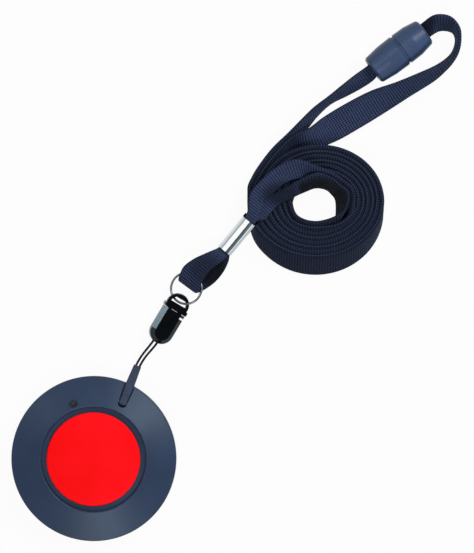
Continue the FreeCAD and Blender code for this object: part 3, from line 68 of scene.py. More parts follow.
def makeCamera():
    distance = photoView["viewHeightMm"] * mm * photoView["lens"] / photoView["sensor"]
    x, y = photoView["middleMm"]
    place = (x * mm, y * mm, photoView["planeMm"] * mm + distance)
    bpy.ops.object.camera_add(location=place, rotation=(0, 0, 0))
    camera = bpy.context.object
    camera.data.sensor_fit = "VERTICAL"
    camera.data.sensor_height = photoView["sensor"]
    camera.data.lens = photoView["lens"]
    camera.data.clip_start = photoView["nearClip"]
    bpy.context.scene.camera = camera
    print("camera looks straight down from", round(place[2], 3), "m")


makeCamera()


def linear(hexText):
    # sRGB hex to the linear colour that a shader takes
    channels = [int(hexText[at:at + 2], 16) / 255 for at in (1, 3, 5)]
    bent = [c / 12.92 if c <= 0.04045 else ((c + 0.055) / 1.055) ** 2.4 for c in channels]
    return (*bent, 1.0)


def addNode(tree, kind, settings=None, links=None):
    # one shader node: settings by ramp stops, property or socket, links from other sockets
    node = tree.nodes.new(kind)
    for key, setting in (settings or {}).items():
        if key == "stops":
            stops = node.color_ramp.elements
            while len(stops) < len(setting):
                stops.new(0.5)
            for stop, (position, colour) in zip(stops, setting):
                stop.position = position
                stop.color = linear(colour)
        elif isinstance(key, str) and key in node.bl_rna.properties:
            setattr(node, key, setting)
        else:
            node.inputs[key].default_value = setting
    for key, source in (links or {}).items():
        tree.links.new(source, node.inputs[key])
    return node


def newMaterial(name):
    material = bpy.data.materials.new(name)
    material.use_nodes = True
    tree = material.node_tree
    tree.nodes.clear()
    output = addNode(tree, "ShaderNodeOutputMaterial")
    return material, tree, output


def placeInMm(tree):
    # object coordinates in millimetres
    coordinate = addNode(tree, "ShaderNodeTexCoord")
    scaled = addNode(
        tree, "ShaderNodeMapping", {"Scale": (1 / mm,) * 3}, {"Vector": coordinate.outputs["Object"]}
    )
    return scaled.outputs["Vector"]


# The keys are the record's material slots, and a finish is the real material with how it was made.
# The moulds' real grain is about 0.1 mm wide, so it is drawn 0.3 to 0.6 mm wide, or it wouldn't show.
plasticLooks = {
    "housing_plastic": {  # blue-grey, with a broad soft sheen from the spark-eroded mould
        "finish": "sparkMouldedAbs",
        "dark": "#18263e", "light": "#1e2e49", "gleam": "#e0f2ff",
        "roughness": 0.36, "specular": 0.31, "coat": 0.0, "bump": 0.3,
        "grainMm": 0.35, "grainDepthMm": 0.02, "cloudMm": 14.0,
    },
    "button_red": {  # signal red, even all over and hardly shiny
        "finish": "satinMouldedAbs",
        "dark": "#f6070b", "light": "#ff0f1a", "gleam": "#ffffff",
        "roughness": 0.5, "specular": 0.05, "coat": 0.0, "bump": 0.2,
        "grainMm": 0.4, "grainDepthMm": 0.015, "cloudMm": 18.0,
    },
    "seal_rubber": {  # nearly black and dull
        "finish": "mouldedSilicone",
        "dark": "#161616", "light": "#1f1f20", "gleam": "#ffffff",
        "roughness": 0.75, "specular": 0.5, "coat": 0.0, "bump": 0.3,
        "grainMm": 0.5, "grainDepthMm": 0.02, "cloudMm": 6.0,
    },
    "switch_plastic": {  # black, a little uneven from the glass fibres
        "finish": "mouldedGlassNylon",
        "dark": "#141415", "light": "#1f1f21", "gleam": "#ffffff",
        "roughness": 0.55, "specular": 0.5, "coat": 0.0, "bump": 0.3,
        "grainMm": 0.3, "grainDepthMm": 0.02, "cloudMm": 5.0,
    },
    "board_laminate": {  # green lacquer with a clear gloss on top
        "finish": "lacqueredGlassEpoxy",
        "dark": "#12402a", "light": "#185536", "gleam": "#ffffff",
        "roughness": 0.35, "specular": 0.5, "coat": 0.3, "bump": 0.2,
        "grainMm": 0.6, "grainDepthMm": 0.015, "cloudMm": 4.0,
    },
    "lens_clear": {  # smoked, so nearly black while the lamp under it is off
        "finish": "mouldedPolycarbonate",
        "dark": "#1c1f23", "light": "#2b2f34", "gleam": "#ffffff",
        "roughness": 0.25, "specular": 0.2, "coat": 0.0, "bump": 0.1,
        "grainMm": 0.5, "grainDepthMm": 0.01, "cloudMm": 1.2,
    },
    "tab_rubber": {  # the housing's blue-grey, but dull
        "finish": "mouldedThermoplasticRubber",
        "dark": "#1f2a3d", "light": "#2a364c", "gleam": "#ffffff",
        "roughness": 0.55, "specular": 0.2, "coat": 0.0, "bump": 0.35,
        "grainMm": 0.4, "grainDepthMm": 0.03, "cloudMm": 3.0,
    },
    "clip_plastic": {  # black, with flat matt faces and polished flanks that catch a pale streak
        "finish": "mouldedAcetal",
        "dark": "#050608", "light": "#0a0b0f", "gleam": "#cdedff",
        "roughness": 0.14, "specular": 0.03, "flankSpecular": 0.42, "coat": 0.0, "bump": 0.08,
        "grainMm": 0.5, "grainDepthMm": 0.015, "cloudMm": 5.0,
    },
    "connector_plastic": {  # navy blue, satin
        "finish": "mouldedPolypropylene",
        "dark": "#273955", "light": "#314568", "gleam": "#ffffff",
        "roughness": 0.32, "specular": 0.3, "coat": 0.0, "bump": 0.3,
        "grainMm": 0.35, "grainDepthMm": 0.02, "cloudMm": 6.0,
    },
}
mouldMarks = {
    "ior": 1.5,
    "grainDetail": 3.0,
    "cloudDetail": 2.0,
    "darkTo": 0.3,  # the clouds turn from dark to light between these
    "lightFrom": 0.7,
    "smoother": 0.04,  # the grain takes the roughness this much down and the next much up
    "rougher": 0.05,
    "coatRoughness": 0.08,
    "flankBelow": 0.93,  # upward part of the normal below which a face is all flank
    "flatAbove": 0.96,
}


def mouldedPlastic(look):
    # the mould's grain breaks up the highlights, and the flow leaves faint clouds in the colour
    material, tree, output = newMaterial(look["finish"])
    place = placeInMm(tree)
    grain = addNode(
        tree,
        "ShaderNodeTexNoise",
        {"Scale": 1 / look["grainMm"], "Detail": mouldMarks["grainDetail"]},
        {"Vector": place},
    )
    cloud = addNode(
        tree,
        "ShaderNodeTexNoise",
        {"Scale": 1 / look["cloudMm"], "Detail": mouldMarks["cloudDetail"]},
        {"Vector": place},
    )
    tones = [(mouldMarks["darkTo"], look["dark"]), (mouldMarks["lightFrom"], look["light"])]
    colour = addNode(tree, "ShaderNodeValToRGB", {"stops": tones}, {"Fac": cloud.outputs["Fac"]})
    roughness = addNode(
        tree,
        "ShaderNodeMapRange",
        {
            "To Min": look["roughness"] - mouldMarks["smoother"],
            "To Max": look["roughness"] + mouldMarks["rougher"],
        },
        {"Value": grain.outputs["Fac"]},
    )
    bump = addNode(
        tree,
        "ShaderNodeBump",
        {"Strength": look["bump"], "Distance": look["grainDepthMm"] * mm},
        {"Height": grain.outputs["Fac"]},
    )
    shader = addNode(
        tree,
        "ShaderNodeBsdfPrincipled",
        {
            "IOR": mouldMarks["ior"],
            "Specular IOR Level": look["specular"],
            "Coat Weight": look["coat"],
            "Coat Roughness": mouldMarks["coatRoughness"],
            "Specular Tint": linear(look["gleam"]),
        },
        {
            "Base Color": colour.outputs["Color"],
            "Roughness": roughness.outputs["Result"],
            "Normal": bump.outputs["Normal"],
        },
    )
    if "flankSpecular" in look:
        # the flat faces are matt from the mould's texture, the flanks polished
        facing = addNode(tree, "ShaderNodeNewGeometry")
        upward = addNode(tree, "ShaderNodeSeparateXYZ", None, {"Vector": facing.outputs["Normal"]})
        polish = addNode(
            tree,
            "ShaderNodeMapRange",
            {
                "From Min": mouldMarks["flankBelow"],
                "From Max": mouldMarks["flatAbove"],
                "To Min": look["flankSpecular"],
                "To Max": look["specular"],
            },
            {"Value": upward.outputs["Z"]},
        )
        tree.links.new(polish.outputs["Result"], shader.inputs["Specular IOR Level"])
    tree.links.new(shader.outputs["BSDF"], output.inputs["Surface"])
    return material


metalLooks = {
    "screw_steel": {  # dark grey with a faint gleam
        "finish": "blackZincPlatedSteel",
        "dark": "#2b2c2f", "light": "#45474a", "roughness": 0.35, "markMm": 0.4,
    },
    "contact_steel": {  # bright, almost white
        "finish": "nickelPlatedSteel",
        "dark": "#a9abad", "light": "#cfd0d2", "roughness": 0.22, "markMm": 0.6,
    },
    "antenna_brass": {  # yellow bare wire
        "finish": "drawnBrass",
        "dark": "#9c7a3c", "light": "#c7a45e", "roughness": 0.28, "markMm": 0.5,
    },
    "ring_steel": {  # grey wire with a thin bright line along it
        "finish": "polishedSteel",
        "dark": "#4a4c4e", "light": "#6a6c6e", "roughness": 0.2, "markMm": 0.5,
    },
}
handlingMarks = {
    "detail": 4.0,
    "darkTo": 0.3,  # the marks turn from dark to light between these
    "lightFrom": 0.7,
    "smoothShare": 0.7,  # the roughness runs from this share of its value to the next
    "roughShare": 1.3,
    "bump": 0.15,
    "depthMm": 0.01,
}


def smoothMetal(look):
    # plated, drawn or polished: small handling marks dull the mirror in places
    material, tree, output = newMaterial(look["finish"])
    marks = addNode(
        tree,
        "ShaderNodeTexNoise",
        {"Scale": 1 / look["markMm"], "Detail": handlingMarks["detail"]},
        {"Vector": placeInMm(tree)},
    )
    tones = [(handlingMarks["darkTo"], look["dark"]), (handlingMarks["lightFrom"], look["light"])]
    colour = addNode(tree, "ShaderNodeValToRGB", {"stops": tones}, {"Fac": marks.outputs["Fac"]})
    roughness = addNode(
        tree,
        "ShaderNodeMapRange",
        {
            "To Min": look["roughness"] * handlingMarks["smoothShare"],
            "To Max": look["roughness"] * handlingMarks["roughShare"],
        },
        {"Value": marks.outputs["Fac"]},
    )
    bump = addNode(
        tree,
        "ShaderNodeBump",
        {"Strength": handlingMarks["bump"], "Distance": handlingMarks["depthMm"] * mm},
        {"Height": marks.outputs["Fac"]},
    )
    shader = addNode(
        tree,
        "ShaderNodeBsdfPrincipled",
        {"Metallic": 1.0},
        {
            "Base Color": colour.outputs["Color"],
            "Roughness": roughness.outputs["Result"],
            "Normal": bump.outputs["Normal"],
        },
    )
    tree.links.new(shader.outputs["BSDF"], output.inputs["Surface"])
    return material


crimpLook = {
    "finish": "chromePlatedSteel",
    "acrossFrom": (0.7694, -0.6388, 0.0),  # across the face, from its upper left side to its lower right
    "middleMm": -11.38,  # where the face's middle line lies along that direction
    "halfWidthMm": 2.8,
    # painted reflection across the bright face, dark and light bands: share of the half width, grey
    "bands": [
        (-1.0, "#f0f2f4"), (-0.55, "#b9c0c5"), (-0.42, "#79838a"), (-0.34, "#f6f8f9"), (0.18, "#fcfdfd"),
        (0.24, "#39444b"), (0.62, "#66727a"), (0.7, "#f2f5f6"), (0.8, "#a7b0b6"), (1.0, "#c3cacf"),
    ],
    "waveMm": 2.0,  # the painted reflection bands waver a little along the folded sheet
    "waveDetail": 2.0,
    "waveShare": 0.05,
    "roughness": 0.12,
}


def chromeWithPaintedReflection(look):
    # bright chrome on a folded sheet, with painted reflection: sharp dark and light grey bands across its
    # face
    material, tree, output = newMaterial(look["finish"])
    place = placeInMm(tree)
    across = addNode(
        tree, "ShaderNodeVectorMath", {"operation": "DOT_PRODUCT", 1: look["acrossFrom"]}, {0: place}
    )
    share = addNode(
        tree,
        "ShaderNodeMapRange",
        {
            "From Min": look["middleMm"] - look["halfWidthMm"],
            "From Max": look["middleMm"] + look["halfWidthMm"],
        },
        {"Value": across.outputs["Value"]},
    )
    wave = addNode(
        tree,
        "ShaderNodeTexNoise",
        {"Scale": 1 / look["waveMm"], "Detail": look["waveDetail"]},
        {"Vector": place},
    )
    wavy = addNode(
        tree,
        "ShaderNodeMath",
        {"operation": "MULTIPLY_ADD", 1: look["waveShare"]},
        {0: wave.outputs["Fac"], 2: share.outputs["Result"]},
    )
    # painted reflection: the grey bands are set as the chrome's base colour
    tones = [((at + 1) / 2, grey) for at, grey in look["bands"]]
    paintedReflection = addNode(tree, "ShaderNodeValToRGB", {"stops": tones}, {"Fac": wavy.outputs["Value"]})
    shader = addNode(
        tree,
        "ShaderNodeBsdfPrincipled",
        {"Metallic": 1.0, "Roughness": look["roughness"]},
        {"Base Color": paintedReflection.outputs["Color"]},
    )
    tree.links.new(shader.outputs["BSDF"], output.inputs["Surface"])
    return material


webbingLook = {
    "finish": "wovenPolyester",
    "ribMm": 0.95,  # pitch of the cross ribs, coarser than the real weave so that they show
    "warpMm": 0.72,  # spacing of the warp ends across the width
    "dark": "#080c18",
    "light": "#3e4b6e",
    "darkTo": 0.15,  # height in the weave up to which it is dark, painted shade between the threads
    "reliefMm": 0.16,
    "bump": 0.8,
    "fuzzMm": 0.625,  # threads that stand out unevenly
    "fuzzDetail": 3.0,
    "fuzzShare": 0.3,
    "girthMm": 21.3,  # once round the section
    "selvedgeMm": 1.1,  # painted shade along the selvedge
    "selvedgeShade": 0.55,
    "roughness": 0.8,
    "specular": 0.1,
    "sheen": 0.05,
    "sheenRoughness": 0.4,
    "sheenTint": "#8fa3cf",
}


def ridges(tree, place, pitchMm):
    # rounded ridges, 1 on top and 0 between them
    count = addNode(tree, "ShaderNodeMath", {"operation": "MULTIPLY", 1: math.pi / pitchMm}, {0: place})
    sine = addNode(tree, "ShaderNodeMath", {"operation": "SINE"}, {0: count.outputs["Value"]})
    ridge = addNode(tree, "ShaderNodeMath", {"operation": "ABSOLUTE"}, {0: sine.outputs["Value"]})
    return ridge.outputs["Value"]


def weaveHeight(tree, look, across, along):
    # plain weave: weft ribs across the strap and warp ends over them
    rib = ridges(tree, along, look["ribMm"])
    warp = ridges(tree, across, look["warpMm"])
    thread = addNode(tree, "ShaderNodeMath", {"operation": "MULTIPLY"}, {0: rib, 1: warp})
    fuzz = addNode(
        tree,
        "ShaderNodeTexNoise",
        {"Scale": 1 / look["fuzzMm"], "Detail": look["fuzzDetail"]},
        {"Vector": placeInMm(tree)},
    )
    height = addNode(
        tree,
        "ShaderNodeMath",
        {"operation": "MULTIPLY_ADD", 1: look["fuzzShare"]},
        {0: fuzz.outputs["Fac"], 2: thread.outputs["Value"]},
    )
    return height.outputs["Value"]


def weaveLight(tree, look, across):
    # painted shade: the colour is darkened at the selvedges and on the faces that strapMesh marks with
    # painted shade
    edge = addNode(tree, "ShaderNodeMath", {"operation": "PINGPONG", 1: look["girthMm"] / 4}, {0: across})
    shade = addNode(
        tree,
        "ShaderNodeMapRange",
        {"From Max": look["selvedgeMm"], "To Min": look["selvedgeShade"], "To Max": 1.0},
        {"Value": edge.outputs["Value"]},
    )
    hollow = addNode(tree, "ShaderNodeAttribute", {"attribute_name": "hollowShade"})
    left = addNode(tree, "ShaderNodeMath", {"operation": "SUBTRACT", 0: 1.0}, {1: hollow.outputs["Fac"]})
    share = addNode(
        tree,
        "ShaderNodeMath",
        {"operation": "MULTIPLY"},
        {0: left.outputs["Value"], 1: shade.outputs["Result"]},
    )
    return share.outputs["Value"]


def wovenWebbing(look):
    # flat webbing: dull navy threads with painted shade nearly black between them, and a slight sheen
    material, tree, output = newMaterial(look["finish"])
    surface = addNode(tree, "ShaderNodeUVMap", {"uv_map": "weave"})
    parts = addNode(tree, "ShaderNodeSeparateXYZ", None, {"Vector": surface.outputs["UV"]})
    height = weaveHeight(tree, look, parts.outputs["X"], parts.outputs["Y"])
    # painted shade: the low parts of the weave take the dark tone
    tones = [(look["darkTo"], look["dark"]), (1.0, look["light"])]
    thread = addNode(tree, "ShaderNodeValToRGB", {"stops": tones}, {"Fac": height})
    light = weaveLight(tree, look, parts.outputs["X"])
    colour = addNode(
        tree,
        "ShaderNodeVectorMath",
        {"operation": "SCALE"},
        {0: thread.outputs["Color"], "Scale": light},
    )
    bump = addNode(
        tree,
        "ShaderNodeBump",
        {"Strength": look["bump"], "Distance": look["reliefMm"] * mm},
        {"Height": height},
    )
    shader = addNode(
        tree,
        "ShaderNodeBsdfPrincipled",
        {
            "Roughness": look["roughness"],
            "Specular IOR Level": look["specular"],
            "Sheen Weight": look["sheen"],
            "Sheen Roughness": look["sheenRoughness"],
            "Sheen Tint": linear(look["sheenTint"]),
        },
        {"Base Color": colour.outputs["Vector"], "Normal": bump.outputs["Normal"]},
    )
    tree.links.new(shader.outputs["BSDF"], output.inputs["Surface"])
    return material


stringLook = {
    "finish": "braidedPolyester",
    "dark": "#07080b",
    "light": "#15171d",
    "waveScale": 0.9,  # puts the slanting bands about 0.4 mm apart, as the braid's threads lie
    "waveDistortion": 1.5,
    "waveDetail": 2.0,
    "reliefMm": 0.08,
    "bump": 0.7,
    "roughness": 0.65,
    "specular": 0.1,
    "sheen": 0.05,
}


def braidedString(look):
    # thin braid: threads that cross at a slant, nearly black and dull
    material, tree, output = newMaterial(look["finish"])
    wave = addNode(
        tree,
        "ShaderNodeTexWave",
        {
            "wave_type": "BANDS",
            "bands_direction": "DIAGONAL",
            "Scale": look["waveScale"],
            "Distortion": look["waveDistortion"],
            "Detail": look["waveDetail"],
        },
        {"Vector": placeInMm(tree)},
    )
    tones = [(0.0, look["dark"]), (1.0, look["light"])]
    colour = addNode(tree, "ShaderNodeValToRGB", {"stops": tones}, {"Fac": wave.outputs["Fac"]})
    bump = addNode(
        tree,
        "ShaderNodeBump",
        {"Strength": look["bump"], "Distance": look["reliefMm"] * mm},
        {"Height": wave.outputs["Fac"]},
    )
    shader = addNode(
        tree,
        "ShaderNodeBsdfPrincipled",
        {
            "Roughness": look["roughness"],
            "Specular IOR Level": look["specular"],
            "Sheen Weight": look["sheen"],
        },
        {"Base Color": colour.outputs["Color"], "Normal": bump.outputs["Normal"]},
    )
    tree.links.new(shader.outputs["BSDF"], output.inputs["Surface"])
    return material


materials = {slot: mouldedPlastic(look) for slot, look in plasticLooks.items()}
materials.update({slot: smoothMetal(look) for slot, look in metalLooks.items()})
materials["crimp_chrome"] = chromeWithPaintedReflection(crimpLook)
materials["webbing_navy"] = wovenWebbing(webbingLook)
materials["string_black"] = braidedString(stringLook)
print("materials:", len(materials))


def dressNodes():
    # every CAD node gets the finish of its own slot
    for part in frame["record"]["subparts"]:
        item = nodes[part["node"]]
        if not item.material_slots:
            item.data.materials.append(None)
        for slot in item.material_slots:
            slot.material = materials[part["material_slot"]]


dressNodes()
print("nodes dressed")

# The string runs from one bore of the tab round the bar in the clip and back to the other bore.
stringLoop = {
    "diameterMm": 0.8,
    "lengthMm": 31.4,
    "routeMm": [
        (13.85, 30.67, 4.96), (15.43, 34.68, 3.52), (20.48, 40.78, 3.29), (22.22, 43.7, 3.29),
        (23.55, 42.9, 2.91), (21.81, 39.99, 2.91), (16.64, 34.21, 3.52), (15.06, 30.19, 4.96),
    ],
    "curveOrder": 3,
    "stepsPerPoint": 16,
    "roundSteps": 5,
}


def makeString():
    curve = bpy.data.curves.new("stringLoop", "CURVE")
    curve.dimensions = "3D"
    spline = curve.splines.new("NURBS")
    route = stringLoop["routeMm"]
    spline.points.add(len(route) - 1)
    for point, place in zip(spline.points, route):
        point.co = (*(Vector(place) * mm), 1.0)
    spline.order_u = stringLoop["curveOrder"]
    spline.use_endpoint_u = True
    spline.resolution_u = stringLoop["stepsPerPoint"]
    curve.bevel_depth = stringLoop["diameterMm"] * mm / 2
    curve.bevel_resolution = stringLoop["roundSteps"]
    curve.use_fill_caps = True
    string = bpy.data.objects.new("stringLoop", curve)
    bpy.context.scene.collection.objects.link(string)
    curve.materials.append(materials["string_black"])
    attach(string, "pendant")
    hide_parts("cord_loop")


makeString()
print("string loop made")

# The webbing follows stations. Each is a pair of points in mm across it, first the foot or the
# lower right edge, then the rim or the upper left edge.
backStations = [
    ((100.7, 136.4, 5.9), (98.1, 139.7, 6.1)),
    ((98.7, 133.4, 5.2), (95.2, 137.4, 6.4)),
    ((94.9, 130.9, 3.2), (91.8, 134.8, 7.2)),
    ((89.0, 128.0, 1.0), (86.9, 130.6, 8.8)),
    ((83.3, 125.2, 0.6), (82.4, 126.8, 9.6)),
    ((78.6, 120.9, 0.6), (77.7, 123.3, 9.2)),
    ((74.0, 115.2, 0.7), (73.3, 119.2, 8.2)),
]
frontStations = [
    ((118.9, 132.4, 9.3), (116.4, 136.5, 0.8)),
    ((110.5, 127.0, 7.8), (106.8, 132.7, 0.9)),
    ((102.6, 121.8, 4.4), (97.7, 129.7, 1.0)),
    ((94.2, 116.7, 2.2), (89.2, 125.4, 1.1)),
    ((85.6, 111.9, 1.2), (80.6, 120.2, 1.6)),
    ((77.6, 108.9, 0.8), (75.2, 115.8, 7.4)),
]
neckStations = [
    ((112.3, 150.4, 6.5), (115.5, 146.1, 5.5)),
    ((115.6, 153.2, 7.4), (118.6, 148.7, 4.6)),
    ((119.9, 155.8, 8.6), (121.4, 150.5, 2.6)),
    ((124.9, 155.2, 9.2), (124.2, 150.9, 1.0)),
    ((128.0, 151.6, 9.8), (126.9, 150.0, 0.3)),
    ((128.5, 147.4, 10.0), (127.8, 147.2, 0.1)),
    ((127.8, 143.0, 10.0), (126.8, 143.6, 0.1)),
    ((125.8, 139.2, 9.9), (124.6, 141.0, 0.3)),
    ((122.6, 135.6, 9.8), (121.0, 138.6, 0.5)),
]
upperLead = [
    ((68.0, 81.2, 0.35), (68.0, 86.8, 7.65)),
    ((70.0, 78.2, 0.45), (69.8, 83.9, 7.8)),
    ((73.9, 76.2, 0.5), (73.8, 82.0, 7.9)),
    ((79.0, 75.6, 0.5), (79.0, 81.5, 7.9)),
    ((84.2, 77.4, 0.45), (85.8, 82.5, 7.9)),
    ((86.6, 80.8, 0.4), (90.4, 85.8, 7.9)),
    ((87.3, 86.0, 0.4), (91.5, 90.0, 8.0)),
    ((86.9, 91.5, 0.4), (91.1, 94.6, 8.2)),
    ((85.4, 94.6, 0.6), (88.2, 97.3, 8.6)),
    ((82.3, 96.5, 1.0), (84.0, 100.3, 9.9)),
    ((78.3, 97.2, 2.7), (79.0, 102.3, 11.3)),
    ((73.0, 98.5, 7.9), (71.2, 105.0, 12.6)),
    ((67.9, 97.2, 9.6), (64.6, 102.6, 11.9)),
    ((63.6, 93.7, 10.4), (59.3, 98.4, 11.8)),
    ((59.6, 89.3, 10.9), (54.9, 93.0, 11.9)),
]
lowerLead = [
    ((69.9, 82.0, 0.35), (69.8, 87.6, 7.7)),
    ((71.5, 79.7, 0.45), (71.3, 85.3, 7.8)),
    ((74.7, 77.9, 0.5), (74.6, 83.7, 7.9)),
    ((79.0, 77.4, 0.5), (79.0, 83.3, 7.9)),
    ((83.3, 79.1, 0.45), (84.4, 84.7, 7.9)),
    ((85.1, 82.1, 0.4), (87.7, 86.9, 7.9)),
    ((85.6, 86.6, 0.4), (89.4, 90.4, 8.0)),
    ((85.3, 91.0, 0.4), (89.3, 94.0, 8.2)),
    ((83.9, 93.2, 0.6), (86.8, 96.0, 8.6)),
    ((81.6, 94.9, 1.0), (83.3, 98.7, 9.7)),
    ((77.8, 95.3, 2.5), (78.5, 100.2, 10.9)),
    ((73.9, 93.7, 5.6), (72.3, 97.8, 9.9)),
    ((69.9, 91.6, 8.3), (66.9, 95.0, 8.7)),
    ((64.4, 88.6, 8.6), (61.3, 91.9, 9.0)),
    ((59.9, 83.9, 8.6), (56.3, 87.4, 8.8)),
]
ringLoop = [
    ((44.9, 69.3, 5.6), (39.9, 72.5, 6.4)),
    ((40.6, 65.9, 6.7), (35.2, 70.3, 7.0)),
    ((38.0, 62.0, 6.6), (31.6, 67.6, 6.7)),
    ((37.2, 59.2, 5.8), (30.2, 64.9, 5.9)),
    ((36.2, 58.4, 3.5), (29.7, 63.2, 3.5)),
    ((37.9, 58.8, 0.7), (30.6, 64.4, 0.7)),
    ((42.2, 61.7, 0.7), (34.8, 68.2, 0.7)),
    ((45.4, 65.4, 1.1), (38.8, 71.0, 1.0)),
    ((47.3, 69.2, 1.9), (41.8, 73.0, 1.8)),
]
rollEntry = [  # where the rims of the two strands lie as they reach the roll
    [(68.4, 114.0), (63.3, 109.1), (58.95, 103.6), (56.05, 98.9), (54.7, 94.8)],
    [(69.5, 112.9), (64.5, 108.1), (60.2, 102.75), (57.45, 98.3), (56.2, 94.7)],
]
roll = {
    "middleMm": (78.7, 91.5),
    "halfMm": (24.225, 20.775),
    "pitchMm": (1.65, 1.6),
    "turns": 3.0,
    "stepsPerTurn": 16,
    "leanMm": 6.7,  # how far the rim lies beyond the foot on the near side
    "leanFall": 0.08,  # the lean lessens by this much per mm towards the far side
    "nearEdgeMm": 70.725,
    "heightMm": 7.55,
    "unevenMm": 0.12,  # the rims of a hand-wound roll don't lie level
    "seed": 7,
    "thicknessMm": 1.6,  # with the slack between the turns
    "slackMm": 0.4,  # added to pitch and thickness on the left side
    "entryDropMm": [2.2, 1.4, 0.6, 0.2, 0.0],  # how much further the inner strand leans on its way in
    "leadStations": 9,  # this many of a lead's stations still lie in the roll
    "faceShade": 0.6,  # painted shade on the faces between the turns; the rims stay lighter
    "fullShadeMm": 0.3,  # slack that a station needs for all of that painted shade
    "edgeFrom": 0.9,  # share of the half width beyond which a corner is part of the rim
    "edgeShade": 1.5,  # painted shade: the rim's corners are darkened by this more than the faces
}
webbing = {
    "widthMm": 10.0,
    "thicknessMm": 1.3,
    "sampleMm": 0.55,
    "leastSamples": 2,  # from one station to the next
    # half the section, from one selvedge to the other: share across, share of the half thickness
    "profile": [
        (-1.0, 0.0), (-0.975, 0.5), (-0.92, 0.85), (-0.8, 1.0), (-0.4, 0.96), (0.0, 1.0),
        (0.4, 0.96), (0.8, 1.0), (0.92, 0.85), (0.975, 0.5),
    ],
    # two points on the neck loop's end, the first towards the lanyard and the second towards the plug
    "bendFromMm": (121.8, 137.1, 5.1),
    "bendToMm": (113.9, 148.3, 6.0),
}
# Painted shade where the light hardly comes: faces turned to these middles keep only 1 - depth of their
# colour.
paintedShadeZones = [
    {"middleMm": (78.5, 89.5, 4.5), "reachMm": (16.5, 14.0, 12.0), "depth": 0.95},  # inside the roll
    {"middleMm": (68.5, 92.0, 12.5), "reachMm": (12.0, 7.0, 7.0), "depth": 0.7},  # under the upper strand
    {"middleMm": (40.0, 65.5, 3.6), "reachMm": (11.0, 11.0, 5.0), "depth": 0.92},  # inside the ring's loop
    {"middleMm": (39.5, 66.0, 14.0), "reachMm": (12.0, 12.0, 12.0), "depth": 0.6},  # from ring to crimp
    {"middleMm": (115.5, 150.5, 10.5), "reachMm": (8.0, 8.0, 8.0), "depth": 0.8},  # at the plug's mouth
]
paintedShadeOnset = 3.0  # how steeply the painted shade sets in, both from the edge and with the turn of a face
crimp = {
    "lowEndMm": (46.4, 73.7, 3.8),
    "along": (0.5764, 0.6943, 0.431),
    "across": (0.7694, -0.6388, 0.0),
    "outward": (-0.2753, -0.3316, 0.9024),
    "lengthMm": 14.85,
    "halfWidthMm": 2.8,
    "sheetMm": 0.45,
    "layerGapMm": 0.06,  # from the middle plane to either strand
    "sideGapMm": 0.15,
    "pastTopMm": 0.8,  # how far beyond its two ends the outer stations lie
    "pastLowEndMm": 0.3,
}


def crimpStation(place, layer):
    base = Vector(crimp["lowEndMm"]) + Vector(crimp["along"]) * place
    base += Vector(crimp["outward"]) * layer * (webbing["thicknessMm"] / 2 + crimp["layerGapMm"])
    side = Vector(crimp["across"]) * (crimp["halfWidthMm"] - crimp["sheetMm"] - crimp["sideGapMm"])
    return base + side, base - side


def crimpRun(layer):
    # from the crimp's top end to its low end; layer 1 is the upper strand, -1 the lower
    places = (crimp["lengthMm"] + crimp["pastTopMm"], crimp["lengthMm"] / 2, -crimp["pastLowEndMm"])
    return [crimpStation(place, layer) for place in places]


def rimPair(x, y, rise=0.0, drop=0.0, slack=0.0):
    # foot and rim below a point of the rim's line, and how thick the strand is there
    upper = Vector((x, y, roll["heightMm"] + rise))
    lean = roll["leanMm"] - roll["leanFall"] * (y - roll["nearEdgeMm"]) + drop
    return Vector((x, y - lean, 0)), upper, roll["thicknessMm"] + slack


def rollStations(strand):
    # one strand from where it reaches the roll to its inner end
    drops = roll["entryDropMm"]
    stations = [rimPair(x, y, 0.0, drop * strand) for (x, y), drop in zip(rollEntry[strand], drops)]
    wander = random.Random(roll["seed"] + strand)
    steps = int(roll["turns"] * roll["stepsPerTurn"])
    for number in range(1, steps + 1):
        turns = roll["turns"] * number / steps
        layers = strand + 2 * turns
        angle = math.pi + 2 * math.pi * turns
        slack = roll["slackMm"] * (1 - math.cos(angle)) / 2
        halfX = roll["halfMm"][0] - (roll["pitchMm"][0] + slack) * layers
        halfY = roll["halfMm"][1] - roll["pitchMm"][1] * layers
        x = roll["middleMm"][0] + halfX * math.cos(angle)
        y = roll["middleMm"][1] + halfY * math.sin(angle)
        stations.append(rimPair(x, y, wander.uniform(0, roll["unevenMm"]), 0.0, slack))
    return stations


def woundIn(lead):
    # the lead's first stations still lie in the roll and are as thick
    count = roll["leadStations"]
    return [(*pair, roll["thicknessMm"]) for pair in lead[:count]] + lead[count:]


def smoothed(stations):
    # even samples along a smooth line through the stations, edge by edge
    plain = [webbing["thicknessMm"]]
    points = [(Vector(a), Vector(b), *(thickness or plain)) for a, b, *thickness in stations]
    middles = [(a + b) / 2 for a, b, thickness in points]
    runs = [(following - middle).length for middle, following in zip(middles, middles[1:])]
    knots = [0.0]
    for run in runs:
        knots.append(knots[-1] + math.sqrt(run))
    samples = []
    for index, run in enumerate(runs):
        before, after = max(index - 1, 0), min(index + 2, len(points) - 1)
        span = knots[index + 1] - knots[index]
        tangents = []
        for near, far in ((before, index + 1), (index, after)):
            width = knots[far] - knots[near]
            tangents.append([(b - a) / width * span for a, b in zip(points[near], points[far])])
        count = max(webbing["leastSamples"], round(run / webbing["sampleMm"]))
        for step in range(count):
            t = step / count
            # a cubic's shares of the two points and, second and fourth, of their tangents
            h = (
                2 * t ** 3 - 3 * t ** 2 + 1,
                t ** 3 - 2 * t ** 2 + t,
                3 * t ** 2 - 2 * t ** 3,
                t ** 3 - t ** 2,
            )
            samples.append(tuple(
                a * h[0] + b * h[1] + c * h[2] + d * h[3]
                for a, b, c, d in zip(points[index], tangents[0], points[index + 1], tangents[1])
            ))
    samples.append(points[-1])
    return samples


